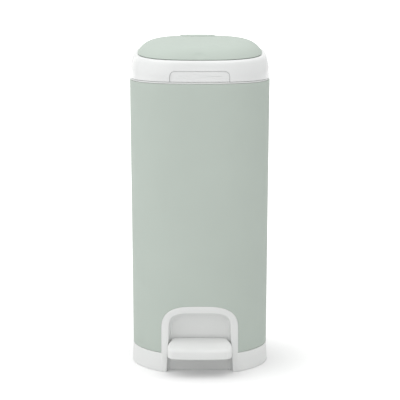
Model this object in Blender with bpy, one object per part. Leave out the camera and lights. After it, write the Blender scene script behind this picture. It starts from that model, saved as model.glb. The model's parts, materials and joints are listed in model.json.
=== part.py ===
"""Pedal nappy bin: plinth, sage body, rim ring, tilting head, sprung jaws and a lid lifted by a pedal."""
import math

import bmesh
import bpy
from mathutils import Matrix, Vector

# Overall form, all lengths in metres
TOP_WIDTH = 0.254
TOP_DEPTH = 0.238
FOOT_TAPER = 0.0033
BODY_TOP = 0.5277
BODY_FOOT = 0.0353
TOP_SQUARENESS = 2.8
FOOT_SQUARENESS = 2.0
ROUND_SQUARENESS = 2.0
WALL = 0.0025
GAP = 0.0003
OVERRUN = 0.02
PLAN_STEPS = 56
ROUND_STEPS = 16

# Head
RING_THICKNESS = 0.0028
RING_INSET = 0.0006
RING_LIP = 0.0080
RING_SKIRT_DEPTH = 0.0120
SEAM_GAP = 0.0004
LID_SIDE_MARGIN = 0.0137
LID_END_MARGIN = 0.0105
LID_SQUARENESS = 2.75
SEAM_RISE = 0.0467
SEAM_ANGLE = math.radians(3.2)
LIP_INSET = 0.0048
LEDGE_WIDTH = 0.0075
LEDGE_DROP = 0.0068
INNER_SHARE = 0.62
SLOT_HALF_WIDTH = 0.0070
SLOT_REACH = 0.0310
SHOULDER_SHARES = ((0.0, 0.0), (0.25, 0.02), (0.42, 0.07), (0.6, 0.18), (0.76, 0.3),
                   (0.87, 0.42), (0.94, 0.56), (0.985, 0.76), (1.0, 0.96))

# Lid
DOME_HEIGHT = 0.0210
DOME_FULLNESS = 8.0
DOME_SHARES = (0.25, 0.5, 0.68, 0.8, 0.88, 0.94, 0.98, 1.0)
SCOOP_RADIUS = 0.080
SCOOP_DEPTH = 0.0010
LOCK_RECESS_LENGTH = 0.075
LOCK_RECESS_WIDTH = 0.030
LOCK_RECESS_SQUARENESS = 3.5
LOCK_RECESS_DEPTH = 0.0012
LOCK_PLACE_SHARE = 0.608
LOCK_LENGTH = 0.064
LOCK_WIDTH = 0.018
LOCK_HEIGHT = 0.0020
LOCK_TRAVEL = 0.009
LOCK_STEM_WIDTH = 0.006
LOCK_STEM_DEPTH = 0.0045
LOCK_SQUARENESS = 3.0
GRIP_LENGTH = 0.014
GRIP_WIDTH = 0.009
GRIP_DEPTH = 0.0008
GRIP_FLOOR_SHARE = 0.6
SCOOP_SHARE = 0.95
CRANK_ROOM_SHARE = 0.65
LINER_MARGIN = 0.0053
SEAL_MARGIN = 0.0050
SEAL_THICKNESS = 0.0050

# Lid hinge and crank
HINGE_SETBACK = 0.0010
HINGE_RISE = 0.0020
BARREL_RADIUS = 0.0035
PIN_RADIUS = 0.0015
CRANK_HALF_WIDTH = 0.0050
KNUCKLE_INNER = 0.0150
KNUCKLE_OUTER = 0.0300
POST_OUTER = 0.0430
NOTCH_MARGIN = 0.0015
HORN_LENGTH = 0.0150
HORN_THICKNESS = 0.0060
HORN_ANGLE = math.radians(37.5)
TONGUE_LENGTH = 0.0240
TONGUE_THICKNESS = 0.0022

# Throat, cassette and jaws
THROAT_SET_SHARE = 0.083
THROAT_SHARE = 0.334
THROAT_WALL = 0.0020
THROAT_DEPTH = 0.0505
DECK_THICKNESS = 0.0025
DECK_DROP = 0.0040
CASSETTE_RIM = 0.0120
CASSETTE_HEIGHT = 0.0400
CASSETTE_PLAY = 0.0006
SCREW_SHARES = (0.1, 0.4, 0.6, 0.9)
JAW_WIRE = 0.0004
JAW_AXIS_MARGIN = 0.0060
JAW_DROP = 0.0040
JAW_OVERLAP = 0.0030
JAW_THICKNESS = 0.0020
JAW_BARREL_RADIUS = 0.0022
JAW_LUG_ROOM = 0.0100
LUG_PLACE_SHARE = 0.414
LUG_THICKNESS = 0.0040
LUG_WIDTH = 0.0080
JAW_PIN_RADIUS = 0.0011
SPRING_TURNS = 4

# Release panel and catch
PANEL_WIDTH_SHARE = 0.4190
PANEL_HEIGHT = 0.0191
PANEL_CORNER = 0.0100
PANEL_INSET = 0.0012
PANEL_TRAVEL = 0.0032
HOOK_HALF_WIDTH = 0.0120
HOOK_GRIP = 0.0024
HOOK_THICKNESS = 0.0035
HOOK_HEIGHT = 0.0036
HOOK_DROP = 0.0006
CATCH_SPRING_SHARE = 0.66
CATCH_WIRE = 0.0004
CATCH_SPRING_RADIUS = 0.0030
CATCH_SPRING_TURNS = 5

# Head hinge
HEAD_AXIS_OFFSET = 0.0042
HEAD_BARREL_RADIUS = 0.0036
MIDDLE_KNUCKLE_END = 0.0150
COLLAR_KNUCKLE_END = 0.0350
OUTER_KNUCKLE_END = 0.0480

# Plinth and niche
PLINTH_PROUD = 0.0018
PLINTH_TOP_PROUD = 0.0003
PLINTH_WALL = 0.0030
FOOT_RISE = 0.0005
SPIGOT_CLEARANCE = 0.0004
DECK_TOP = 0.0600
PLINTH_DECK = 0.0025
ARCH_WIDTH_SHARE = 0.2748
ARCH_SPRING = 0.0770
ARCH_CROWN = 0.1266
ARCH_SQUARENESS = 2.8
NICHE_SQUARENESS = 3.6
ARCH_PROUD = 0.0012
BAND_WIDTH = 0.0140
NICHE_FLARE = 0.0050
NICHE_CROWN = 0.1127
NICHE_DEPTH = 0.0317
VAULT_DROP = 0.0180
VAULT_NARROWING = 0.0055
VAULT_STEPS = 4
NICHE_WALL = 0.0025
BAND_DEPTH = 0.0025
SURROUND_THICKNESS = 0.0050
ARCH_LIP = 0.0015
PLINTH_EDGE = 0.0010
LUG_MARGIN = 0.0080
AXLE_LUG_THICKNESS = 0.0060
ARM_SLOT_FOOT = 0.0220
ARM_SLOT_TOP = 0.0588
ARM_SLOT_PLAY = 0.0015
PILLAR_RADIUS = 0.0100
FOOT_RADIUS = 0.0080
FOOT_THICKNESS = 0.0030
FRONT_FOOT_SHARES = (0.687, -0.484)
REAR_FOOT_SHARES = (0.606, 0.588)

# Pedal and lever
PEDAL_REACH = 0.0263
PEDAL_LENGTH = 0.0540
PEDAL_REAR_TOP = 0.0612
PEDAL_FRONT_TOP = 0.0523
PEDAL_THICKNESS = 0.0180
PEDAL_CLEARANCE = 0.0053
PEDAL_FLARE = 0.0076
PEDAL_SHOULDER_SHARE = 0.55
PEDAL_WALL = 0.0030
PEDAL_CORNER = 0.0120
PEDAL_BOW = 0.0028
PEDAL_EDGE = 0.0045
PEDAL_WIRE = 0.0007
AXLE_SHARE = 0.1296
AXLE_HEIGHT = 0.0240
AXLE_RADIUS = 0.0030
ARM_MARGIN = 0.0105
ARM_THICKNESS = 0.0040
ARM_HEIGHT = 0.0100
BOSS_RADIUS = 0.0070
BEARER_HEIGHT = 0.0080
BEARER_WIDTH = 0.0120
BEARER_TOP = 0.0220
BEARER_SETBACK = 0.0020
BOSS_SHARE = 0.9

# Push rod and its guide
ROD_RADIUS = 0.0030
ROD_OFFSET = 0.0091
ROD_TIP_CLEARANCE = 0.0004
ROD_PLAY = 0.0006
ROD_FOOT_SHARES = ((0.33, 0.0), (1.0, 0.7))
GUIDE_HALF_WIDTH = 0.0070
GUIDE_WALL = 0.0020
GUIDE_DROP = 0.0327
FIN_THICKNESS = 0.0030

# Liner cutter
CUTTER_LENGTH_SHARE = 0.75
CUTTER_DEPTH = 0.0120
CUTTER_HEIGHT = 0.0180
CUTTER_SLOT = 0.0030
BLADE_THICKNESS = 0.0008
SCREW_HEAD_RADIUS = 0.0035
SCREW_HEAD_HEIGHT = 0.0016
SCREW_SHANK_RADIUS = 0.0015
SCREW_LENGTH = 0.0070

# Sizes and places that follow from the ones above
SEAM_HEIGHT = BODY_TOP + SEAM_RISE
GUIDE_TOP = BODY_TOP - GUIDE_DROP
FOOT_WIDTH = TOP_WIDTH - FOOT_TAPER * 2
FOOT_HALF_DEPTH = TOP_DEPTH / 2 - FOOT_TAPER
LID_WIDTH = TOP_WIDTH - LID_SIDE_MARGIN * 2
LID_DEPTH = TOP_DEPTH - LID_END_MARGIN * 2
LOCK_PLACE = LID_DEPTH / 2 * LOCK_PLACE_SHARE
THROAT_OFFSET = -LID_DEPTH * THROAT_SET_SHARE
THROAT_RADIUS = min(LID_WIDTH, LID_DEPTH) * THROAT_SHARE
SEAL_RADIUS = THROAT_RADIUS + SEAL_MARGIN
CASSETTE_BORE = THROAT_RADIUS - CASSETTE_RIM
JAW_AXIS = CASSETTE_BORE + JAW_AXIS_MARGIN
JAW_RADIUS = CASSETTE_BORE + JAW_OVERLAP
LUG_PLACE = THROAT_RADIUS * LUG_PLACE_SHARE
JAW_BARREL_HALF = LUG_PLACE - JAW_LUG_ROOM
CUTTER_ROOM = LID_WIDTH / 2 - LIP_INSET - LEDGE_WIDTH - THROAT_RADIUS - THROAT_WALL
CUTTER_LENGTH = CUTTER_ROOM * CUTTER_LENGTH_SHARE
PANEL_WIDTH = TOP_WIDTH * PANEL_WIDTH_SHARE
HEAD_KNUCKLES = ((0.0, MIDDLE_KNUCKLE_END, "ring"),
                 (MIDDLE_KNUCKLE_END + GAP, COLLAR_KNUCKLE_END, "collar"),
                 (COLLAR_KNUCKLE_END + GAP, OUTER_KNUCKLE_END, "ring"))
ARCH_HALF_WIDTH = TOP_WIDTH * ARCH_WIDTH_SHARE
NICHE_HALF_WIDTH = ARCH_HALF_WIDTH - BAND_WIDTH
NICHE_FOOT_HALF_WIDTH = NICHE_HALF_WIDTH + NICHE_FLARE
NICHE_BACK = NICHE_DEPTH - FOOT_HALF_DEPTH
FRONT_FOOT = (FOOT_WIDTH / 2 * FRONT_FOOT_SHARES[0], FOOT_HALF_DEPTH * FRONT_FOOT_SHARES[1])
REAR_FOOT = (FOOT_WIDTH / 2 * REAR_FOOT_SHARES[0], FOOT_HALF_DEPTH * REAR_FOOT_SHARES[1])
PEDAL_NOSE = -FOOT_HALF_DEPTH - PEDAL_REACH
PEDAL_REAR = PEDAL_NOSE + PEDAL_LENGTH
PEDAL_REAR_HALF_WIDTH = NICHE_HALF_WIDTH - PEDAL_CLEARANCE
PEDAL_FRONT_HALF_WIDTH = PEDAL_REAR_HALF_WIDTH + PEDAL_FLARE
AXLE = (FOOT_HALF_DEPTH * AXLE_SHARE, AXLE_HEIGHT)
ARM_PLACE = PEDAL_REAR_HALF_WIDTH - ARM_MARGIN
LUG_INNER = ARM_PLACE + LUG_MARGIN
AXLE_HALF_LENGTH = LUG_INNER + AXLE_LUG_THICKNESS
RING_FOOT = BODY_TOP + GAP
RING_TOP = RING_FOOT + RING_THICKNESS
COLLAR_FOOT = RING_TOP + SEAM_GAP
HEAD_AXIS = (TOP_DEPTH / 2 + HEAD_AXIS_OFFSET, RING_FOOT + RING_THICKNESS / 2)
REAR_REACH = HEAD_AXIS[0] + HEAD_BARREL_RADIUS
AXIS_Y = (-PEDAL_NOSE - REAR_REACH) / 2
LEDGE_TOP = -LEDGE_DROP
DECK_UPPER = -DECK_DROP
DECK_LOWER = DECK_UPPER - DECK_THICKNESS
THROAT_FOOT = -THROAT_DEPTH
JAW_LEVEL = THROAT_FOOT - JAW_DROP
LID_HINGE = (LID_DEPTH / 2 - HINGE_SETBACK, HINGE_RISE)
SLOT_FRONT = LID_HINGE[0] - SLOT_REACH

BIN = Matrix.Translation((0, AXIS_Y, 0))
LID = BIN @ Matrix.Translation((0, 0, SEAM_HEIGHT)) @ Matrix.Rotation(SEAM_ANGLE, 4, "X")
LID_AXIS = BIN.inverted() @ LID @ Vector((0, *LID_HINGE))
ROD_Y = LID_AXIS.y - ROD_OFFSET
HORN_REACH = HORN_THICKNESS / 2 + ROD_RADIUS + ROD_TIP_CLEARANCE
ROD_TOP = LID_AXIS.z - ROD_OFFSET * math.tan(HORN_ANGLE) - HORN_REACH / math.cos(HORN_ANGLE) + ROD_RADIUS


# Scene and material helpers
def clear_scene():
    for item in list(bpy.data.objects):
        bpy.data.objects.remove(item, do_unlink=True)


def collection(name):
    group = bpy.data.collections.new(name)
    bpy.context.scene.collection.children.link(group)
    return group


def material(name, colour, roughness, metallic=0.0):
    made = bpy.data.materials.new(name)
    made.use_nodes = True
    shader = made.node_tree.nodes["Principled BSDF"]
    shader.inputs["Base Color"].default_value = (*colour, 1.0)
    shader.inputs["Roughness"].default_value = roughness
    shader.inputs["Metallic"].default_value = metallic
    made.diffuse_color = (*colour, 1.0)
    return made


clear_scene()
PARTS = collection("nappy_bin")
CUTTERS = collection("cutters")
SAGE = material("sage_plastic", (0.515, 0.575, 0.525), 0.5)
WHITE = material("white_plastic", (0.80, 0.81, 0.80), 0.4)
GLOSS = material("gloss_white_plastic", (0.79, 0.80, 0.79), 0.18)
GREY = material("grey_plastic", (0.42, 0.44, 0.43), 0.5)
STEEL = material("steel", (0.6, 0.6, 0.6), 0.3, 1.0)
RUBBER = material("rubber", (0.08, 0.08, 0.08), 0.8)


# Mesh helpers
def finish(name, mesh, frame, finish_material, group):
    mesh.name = name
    bm = bmesh.new()
    bm.from_mesh(mesh)
    bmesh.ops.recalc_face_normals(bm, faces=bm.faces)
    bm.to_mesh(mesh)
    bm.free()
    mesh.shade_smooth()
    mesh.set_sharp_from_angle(angle=math.radians(35))
    piece = bpy.data.objects.new(name, mesh)
    piece.matrix_world = frame
    group.objects.link(piece)
    if finish_material is not None:
        mesh.materials.append(finish_material)
    else:
        piece.hide_render = True
        piece.display_type = "WIRE"
    return piece


def part(name, mesh, frame, finish_material):
    return finish(name, mesh, frame, finish_material, PARTS)


def tool(name, mesh, frame):
    return finish(name + "_cutter", mesh, frame, None, CUTTERS)


def mesh_from(bm, name="shape"):
    mesh = bpy.data.meshes.new(name)
    bm.to_mesh(mesh)
    bm.free()
    return mesh


def box(low, high):
    bm = bmesh.new()
    size = Vector(high) - Vector(low)
    middle = (Vector(high) + Vector(low)) / 2
    bmesh.ops.create_cube(bm, size=1.0)
    bmesh.ops.scale(bm, vec=size, verts=bm.verts)
    bmesh.ops.translate(bm, vec=middle, verts=bm.verts)
    return mesh_from(bm)


def rod(radius, start, end, steps=ROUND_STEPS, end_radius=None):
    bm = bmesh.new()
    line = Vector(end) - Vector(start)
    turn = Vector((0, 0, 1)).rotation_difference(line).to_matrix().to_4x4()
    place = Matrix.Translation((Vector(start) + Vector(end)) / 2) @ turn
    bmesh.ops.create_cone(bm, cap_ends=True, cap_tris=False, segments=steps, radius1=radius,
                          radius2=radius if end_radius is None else end_radius,
                          depth=line.length, matrix=place)
    return mesh_from(bm)


def loft(rings, looped=False):
    """Skin a row of rings that have as many points each; looped joins the last ring to the first."""
    bm = bmesh.new()
    rows = [[bm.verts.new(point) for point in ring] for ring in rings]
    pairs = list(zip(rows, rows[1:]))
    if looped:
        pairs.append((rows[-1], rows[0]))
    for lower, upper in pairs:
        for index in range(len(lower)):
            after = (index + 1) % len(lower)
            bm.faces.new((lower[index], lower[after], upper[after], upper[index]))
    if not looped:
        bm.faces.new(rows[0][::-1])
        bm.faces.new(rows[-1])
    return mesh_from(bm)


def prism(outline, axis, start, end):
    """Extrude an outline of pairs along X, Y or Z from start to end."""
    def point(pair, along):
        return {"X": (along, *pair), "Y": (pair[0], along, pair[1]), "Z": (*pair, along)}[axis]
    return loft([[point(pair, start) for pair in outline], [point(pair, end) for pair in outline]])


def helix(radius, wire, turns, start, end, steps=7, sides=5):
    """One unbroken round wire wound about the line from start to end."""
    first, last = Vector(start), Vector(end)
    line = last - first
    across = line.orthogonal().normalized()
    beside = line.normalized().cross(across)
    rings = []
    count = turns * steps
    for index in range(count + 1):
        angle = 2 * math.pi * index / steps
        outward = across * math.cos(angle) + beside * math.sin(angle)
        centre = first + line * (index / count) + outward * radius
        rings.append([centre + wire * (outward * math.cos(side) + line.normalized() * math.sin(side))
                      for side in (2 * math.pi * share / sides for share in range(sides))])
    return loft(rings)


def combine(piece, other, operation):
    change = piece.modifiers.new(operation.lower() + "_" + other.name, "BOOLEAN")
    change.object = other
    change.operation = operation
    change.solver = "EXACT"
    return piece


def cut(piece, name, mesh, frame):
    return combine(piece, tool(name, mesh, frame), "DIFFERENCE")


def join(piece, name, mesh, frame):
    return combine(piece, tool(name, mesh, frame), "UNION")


# Plan shapes
def plan_ring(half_width, half_depth, squareness, height, centre=0.0, steps=PLAN_STEPS):
    ring = []
    for index in range(steps):
        angle = 2 * math.pi * index / steps
        across, along = math.cos(angle), math.sin(angle)
        power = 2 / squareness
        x = half_width * math.copysign(abs(across) ** power, across)
        y = half_depth * math.copysign(abs(along) ** power, along)
        z = height(x, y) if callable(height) else height
        ring.append((x, y + centre, z))
    return ring


def round_ring(radius, height, centre=0.0, steps=PLAN_STEPS):
    return plan_ring(radius, radius, ROUND_SQUARENESS, height, centre, steps)


def body_share(height):
    return (height - BODY_FOOT) / (BODY_TOP - BODY_FOOT)


def body_ring(height, inset=0.0):
    share = body_share(height)
    half_width = (FOOT_WIDTH + (TOP_WIDTH - FOOT_WIDTH) * share) / 2
    half_depth = half_width + (TOP_DEPTH - TOP_WIDTH) / 2
    squareness = FOOT_SQUARENESS + (TOP_SQUARENESS - FOOT_SQUARENESS) * share
    return plan_ring(half_width - inset, half_depth - inset, squareness, height)


def half_depth_at(height):
    half_width = (FOOT_WIDTH + (TOP_WIDTH - FOOT_WIDTH) * body_share(height)) / 2
    return half_width + (TOP_DEPTH - TOP_WIDTH) / 2


def top_ring(inset, height):
    return plan_ring(TOP_WIDTH / 2 - inset, TOP_DEPTH / 2 - inset, TOP_SQUARENESS, height)


def lid_ring(inset, height, share=1.0):
    half_width, half_depth = LID_WIDTH / 2 - inset, LID_DEPTH / 2 - inset
    return plan_ring(half_width * share, half_depth * share, LID_SQUARENESS, height)


def arch(half_width, foot_half_width, crown, squareness=ARCH_SQUARENESS, foot=0.0, steps=20):
    """Outline of an arch in X and Z, flared to its foot, from the right foot round to the left."""
    outline = [(foot_half_width, foot)]
    for index in range(steps + 1):
        angle = math.pi * index / steps
        power = 2 / squareness
        x = half_width * math.copysign(abs(math.cos(angle)) ** power, math.cos(angle))
        z = ARCH_SPRING + (crown - ARCH_SPRING) * abs(math.sin(angle)) ** power
        outline.append((x, z))
    outline.append((-foot_half_width, foot))
    return outline


# Plinth, niche and feet
def front_surface(x, z, proud):
    share = body_share(z)
    half_width = (FOOT_WIDTH + (TOP_WIDTH - FOOT_WIDTH) * share) / 2 + proud
    half_depth = half_depth_at(z) + proud
    squareness = FOOT_SQUARENESS + (TOP_SQUARENESS - FOOT_SQUARENESS) * share
    return -half_depth * (1 - abs(x / half_width) ** squareness) ** (1 / squareness)


def vault_rows(grow, foot):
    """Outlines of the niche from the band back to its rear wall, its crown sinking as it goes."""
    outline = arch(NICHE_HALF_WIDTH + grow, NICHE_FOOT_HALF_WIDTH + grow, NICHE_CROWN + grow,
                   NICHE_SQUARENESS, foot)
    starts = [front_surface(x, z, ARCH_PROUD) + BAND_DEPTH for x, z in outline]
    rows = []
    for index in range(VAULT_STEPS + 1):
        angle = math.pi / 2 * index / VAULT_STEPS
        sunk = 1 - math.cos(angle)
        drawn = grow - VAULT_NARROWING * sunk
        vault = arch(NICHE_HALF_WIDTH + drawn, NICHE_FOOT_HALF_WIDTH + drawn,
                     NICHE_CROWN + grow - VAULT_DROP * sunk, NICHE_SQUARENESS, foot)
        rows.append([(x, start + (NICHE_BACK + grow - start) * math.sin(angle), z)
                     for (x, z), start in zip(vault, starts)])
    return rows


def niche_cutter():
    """The space in the niche: the full arch in front, a band that slopes in a little, then a vault."""
    outer_half = ARCH_HALF_WIDTH - ARCH_LIP
    outer = arch(outer_half, outer_half, ARCH_CROWN - ARCH_LIP, foot=-OVERRUN)
    front = [(x, -TOP_DEPTH, z) for x, z in outer]
    edge = [(x, front_surface(x, z, ARCH_PROUD) - GAP, z) for x, z in outer]
    return loft([front, edge] + vault_rows(0.0, -OVERRUN))


def make_base_plinth():
    spigot = WALL + SPIGOT_CLEARANCE
    piece = part("base_plinth", loft([
        body_ring(FOOT_RISE, PLINTH_EDGE - PLINTH_PROUD),
        body_ring(FOOT_RISE + PLINTH_EDGE, -PLINTH_PROUD),
        body_ring(BODY_FOOT, -PLINTH_TOP_PROUD),
        body_ring(BODY_FOOT, spigot),
        body_ring(DECK_TOP, spigot)]), BIN, WHITE)
    shoulder = BODY_FOOT - PLINTH_WALL
    cut(piece, "plinth_hollow", loft([
        body_ring(FOOT_RISE - OVERRUN, PLINTH_WALL - PLINTH_PROUD),
        body_ring(shoulder, PLINTH_WALL - PLINTH_PROUD),
        body_ring(shoulder, spigot + PLINTH_WALL),
        body_ring(DECK_TOP - PLINTH_DECK, spigot + PLINTH_WALL)]), BIN)
    surround = arch(ARCH_HALF_WIDTH, ARCH_HALF_WIDTH, ARCH_CROWN, foot=FOOT_RISE)
    block = tool("surround", prism(surround, "Y", -TOP_DEPTH, 0.0), BIN)
    levels = [FOOT_RISE + (ARCH_CROWN + OVERRUN - FOOT_RISE) * share / 4 for share in range(5)]
    behind = [body_ring(level, SURROUND_THICKNESS) for level in [FOOT_RISE - OVERRUN] + levels]
    cut(block, "surround_back", loft(behind), BIN)
    tunnel = [(x, -TOP_DEPTH, z) for x, y, z in vault_rows(NICHE_WALL, FOOT_RISE)[0]]
    join(block, "tunnel", loft([tunnel] + vault_rows(NICHE_WALL, FOOT_RISE)), BIN)
    combine(block, tool("front_face", loft([body_ring(level, -ARCH_PROUD) for level in levels]), BIN),
            "INTERSECT")
    combine(piece, block, "UNION")
    cut(piece, "niche", niche_cutter(), BIN)
    room = ARM_THICKNESS / 2 + ARM_SLOT_PLAY
    for side in (-1, 1):
        low, high = side * ARM_PLACE - room, side * ARM_PLACE + room
        cut(piece, f"arm_slot_{side}", box((low, NICHE_BACK - NICHE_WALL, ARM_SLOT_FOOT),
                                           (high, NICHE_BACK + OVERRUN, ARM_SLOT_TOP)), BIN)
    for name, (x, y) in foot_places().items():
        join(piece, name + "_pillar", rod(PILLAR_RADIUS, (x, y, FOOT_THICKNESS + GAP),
                                          (x, y, DECK_TOP - PLINTH_DECK / 2)), BIN)
    axle_y, axle_z = AXLE
    for side in (-1, 1):
        low, high = sorted((side * LUG_INNER, side * (LUG_INNER + AXLE_LUG_THICKNESS)))
        join(piece, f"axle_lug_{side}", box((low, axle_y - BOSS_RADIUS, axle_z - BOSS_RADIUS),
                                            (high, axle_y + BOSS_RADIUS, DECK_TOP - PLINTH_DECK / 2)), BIN)
    cut(piece, "axle_bore", rod(AXLE_RADIUS + GAP, (-TOP_WIDTH / 2 + OVERRUN, axle_y, axle_z),
                                (TOP_WIDTH / 2 - OVERRUN, axle_y, axle_z)), BIN)
    cut(piece, "rod_hole", rod(ROD_RADIUS + ROD_PLAY, (0, ROD_Y, DECK_TOP - OVERRUN / 2),
                               (0, ROD_Y, DECK_TOP + OVERRUN)), BIN)


def foot_places():
    return {f"{end}_{side}": (sign * place[0], place[1])
            for end, place in (("front", FRONT_FOOT), ("rear", REAR_FOOT))
            for side, sign in (("left", -1), ("right", 1))}


def make_feet():
    for name, (x, y) in foot_places().items():
        part(f"foot_{name}", rod(FOOT_RADIUS, (x, y, 0), (x, y, FOOT_THICKNESS)), BIN, RUBBER)


def make_body_shell():
    count = 4
    levels = [BODY_FOOT + GAP + (BODY_TOP - BODY_FOOT - GAP) * index / count for index in range(count + 1)]
    rings = [body_ring(level) for level in levels]
    rings += [body_ring(level, WALL) for level in reversed(levels)]
    piece = part("body_shell", loft(rings, looped=True), BIN, SAGE)
    opening = arch(ARCH_HALF_WIDTH + GAP, ARCH_HALF_WIDTH + GAP, ARCH_CROWN + GAP, foot=0.0)
    cut(piece, "arch_opening", prism(opening, "Y", -TOP_DEPTH, 0.0), BIN)


# Pedal, lever, axle and spring
def pedal_top(y, drop=0.0):
    share = (y - PEDAL_REAR) / (PEDAL_NOSE - PEDAL_REAR)
    return PEDAL_REAR_TOP + (PEDAL_FRONT_TOP - PEDAL_REAR_TOP) * share - drop


def pedal_outline(inset, rear):
    """Half outline of the tread from its rear corner to the nose, mirrored; it widens to a shoulder."""
    corner = PEDAL_CORNER - inset
    centre_x = PEDAL_FRONT_HALF_WIDTH - PEDAL_CORNER
    centre_y = PEDAL_NOSE + PEDAL_BOW + PEDAL_CORNER
    half = [(PEDAL_REAR_HALF_WIDTH - inset, rear)] if rear > PEDAL_REAR else []
    steps = 5
    for index in range(steps + 1):
        share = index / steps
        half.append((PEDAL_REAR_HALF_WIDTH + PEDAL_FLARE * math.sin(math.pi / 2 * share) - inset,
                     PEDAL_REAR - PEDAL_LENGTH * PEDAL_SHOULDER_SHARE * share))
    for index in range(steps + 1):
        angle = math.pi / 2 * index / steps
        half.append((centre_x + corner * math.cos(angle), centre_y - corner * math.sin(angle)))
    half.append((centre_x / 2, PEDAL_NOSE + PEDAL_BOW / 4 + inset))
    half.append((0.0, PEDAL_NOSE + inset))
    return half + [(-x, y) for x, y in reversed(half[:-1])]


def make_pedal():
    edge = PEDAL_EDGE
    body = pedal_outline(0.0, PEDAL_REAR)
    crown = pedal_outline(edge, PEDAL_REAR)
    piece = part("pedal", loft([
        [(x, y, pedal_top(y, PEDAL_THICKNESS)) for x, y in body],
        [(x, y, pedal_top(y, edge)) for x, y in body],
        [(x, y, pedal_top(y)) for x, y in crown]]), BIN, WHITE)
    hollow = pedal_outline(PEDAL_WALL, PEDAL_REAR + OVERRUN)
    cut(piece, "pedal_hollow", loft([
        [(x, y, pedal_top(y, PEDAL_THICKNESS + OVERRUN)) for x, y in hollow],
        [(x, y, pedal_top(y, PEDAL_WALL)) for x, y in hollow]]), BIN)


def arm_outline():
    axle_y, axle_z = AXLE
    front, heel = PEDAL_NOSE + PEDAL_CORNER + PEDAL_WALL, PEDAL_REAR
    under = PEDAL_WALL + GAP
    rear = ROD_Y - BEARER_SETBACK + BEARER_WIDTH / 2
    return [(front, pedal_top(front, under)), (heel, pedal_top(heel, under)),
            (axle_y - BOSS_RADIUS / 2, axle_z + BOSS_RADIUS * BOSS_SHARE),
            (axle_y + BOSS_RADIUS / 2, axle_z + BOSS_RADIUS * BOSS_SHARE),
            (rear, BEARER_TOP), (rear, BEARER_TOP - BEARER_HEIGHT),
            (axle_y + BOSS_RADIUS / 2, axle_z - BOSS_RADIUS * BOSS_SHARE),
            (axle_y - BOSS_RADIUS / 2, axle_z - BOSS_RADIUS * BOSS_SHARE),
            (heel, pedal_top(heel, under + ARM_HEIGHT)), (front, pedal_top(front, under + ARM_HEIGHT))]


def make_lever():
    axle_y, axle_z = AXLE
    half = ARM_THICKNESS / 2
    middle = ROD_Y - BEARER_SETBACK
    bearer = box((-ARM_PLACE, middle - BEARER_WIDTH / 2, BEARER_TOP - BEARER_HEIGHT),
                 (ARM_PLACE, middle + BEARER_WIDTH / 2, BEARER_TOP))
    piece = part("pedal_lever", bearer, BIN, GREY)
    for side in (-1, 1):
        middle = side * ARM_PLACE
        join(piece, f"arm_{side}", prism(arm_outline(), "X", middle - half, middle + half), BIN)
        join(piece, f"boss_{side}", rod(BOSS_RADIUS, (middle - ARM_THICKNESS, axle_y, axle_z),
                                        (middle + ARM_THICKNESS, axle_y, axle_z)), BIN)
    cut(piece, "lever_bore", rod(AXLE_RADIUS + GAP, (-ARM_PLACE - OVERRUN, axle_y, axle_z),
                                 (ARM_PLACE + OVERRUN, axle_y, axle_z)), BIN)
    part("pedal_axle", rod(AXLE_RADIUS, (-AXLE_HALF_LENGTH, axle_y, axle_z),
                           (AXLE_HALF_LENGTH, axle_y, axle_z)), BIN, STEEL)
    reach = ARM_PLACE - ARM_THICKNESS - GAP - PEDAL_WIRE
    part("pedal_spring", helix(AXLE_RADIUS + PEDAL_WIRE + GAP * 2, PEDAL_WIRE, SPRING_TURNS + 2,
                               (reach / 3, axle_y, axle_z), (reach, axle_y, axle_z)), BIN, STEEL)


# Push rod and its guide
def make_rod():
    rings = [round_ring(ROD_RADIUS * share, BEARER_TOP + GAP + ROD_RADIUS * rise, ROD_Y, ROUND_STEPS // 2)
             for share, rise in ROD_FOOT_SHARES]
    steps = 4
    for index in range(steps + 1):
        angle = math.pi / 2 * index / (steps + 1)
        rings.append(round_ring(ROD_RADIUS * math.cos(angle),
                                ROD_TOP - ROD_RADIUS * (1 - math.sin(angle)), ROD_Y, ROUND_STEPS // 2))
    part("push_rod", loft(rings), BIN, STEEL)


def square_ring(half, height, centre):
    return [(sx * half, centre + sy * half, height) for sx, sy in ((1, 1), (-1, 1), (-1, -1), (1, -1))]


def make_rod_guide():
    foot, top = DECK_TOP + GAP, GUIDE_TOP
    inner = GUIDE_HALF_WIDTH - GUIDE_WALL
    piece = part("rod_guide", loft([square_ring(GUIDE_HALF_WIDTH, foot, ROD_Y),
                                    square_ring(GUIDE_HALF_WIDTH, top, ROD_Y),
                                    square_ring(inner, top, ROD_Y), square_ring(inner, foot, ROD_Y)],
                                   looped=True), BIN, WHITE)
    fin = [(ROD_Y + inner + GUIDE_WALL / 2, foot), (half_depth_at(foot) - WALL - GAP, foot),
           (half_depth_at(top) - WALL - GAP, top), (ROD_Y + inner + GUIDE_WALL / 2, top)]
    join(piece, "guide_fin", prism(fin, "X", -FIN_THICKNESS / 2, FIN_THICKNESS / 2), BIN)


# Rim ring, collar, release panel
def seam_plane(offset):
    return lambda x, y: SEAM_HEIGHT + y * math.tan(SEAM_ANGLE) + offset


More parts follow.
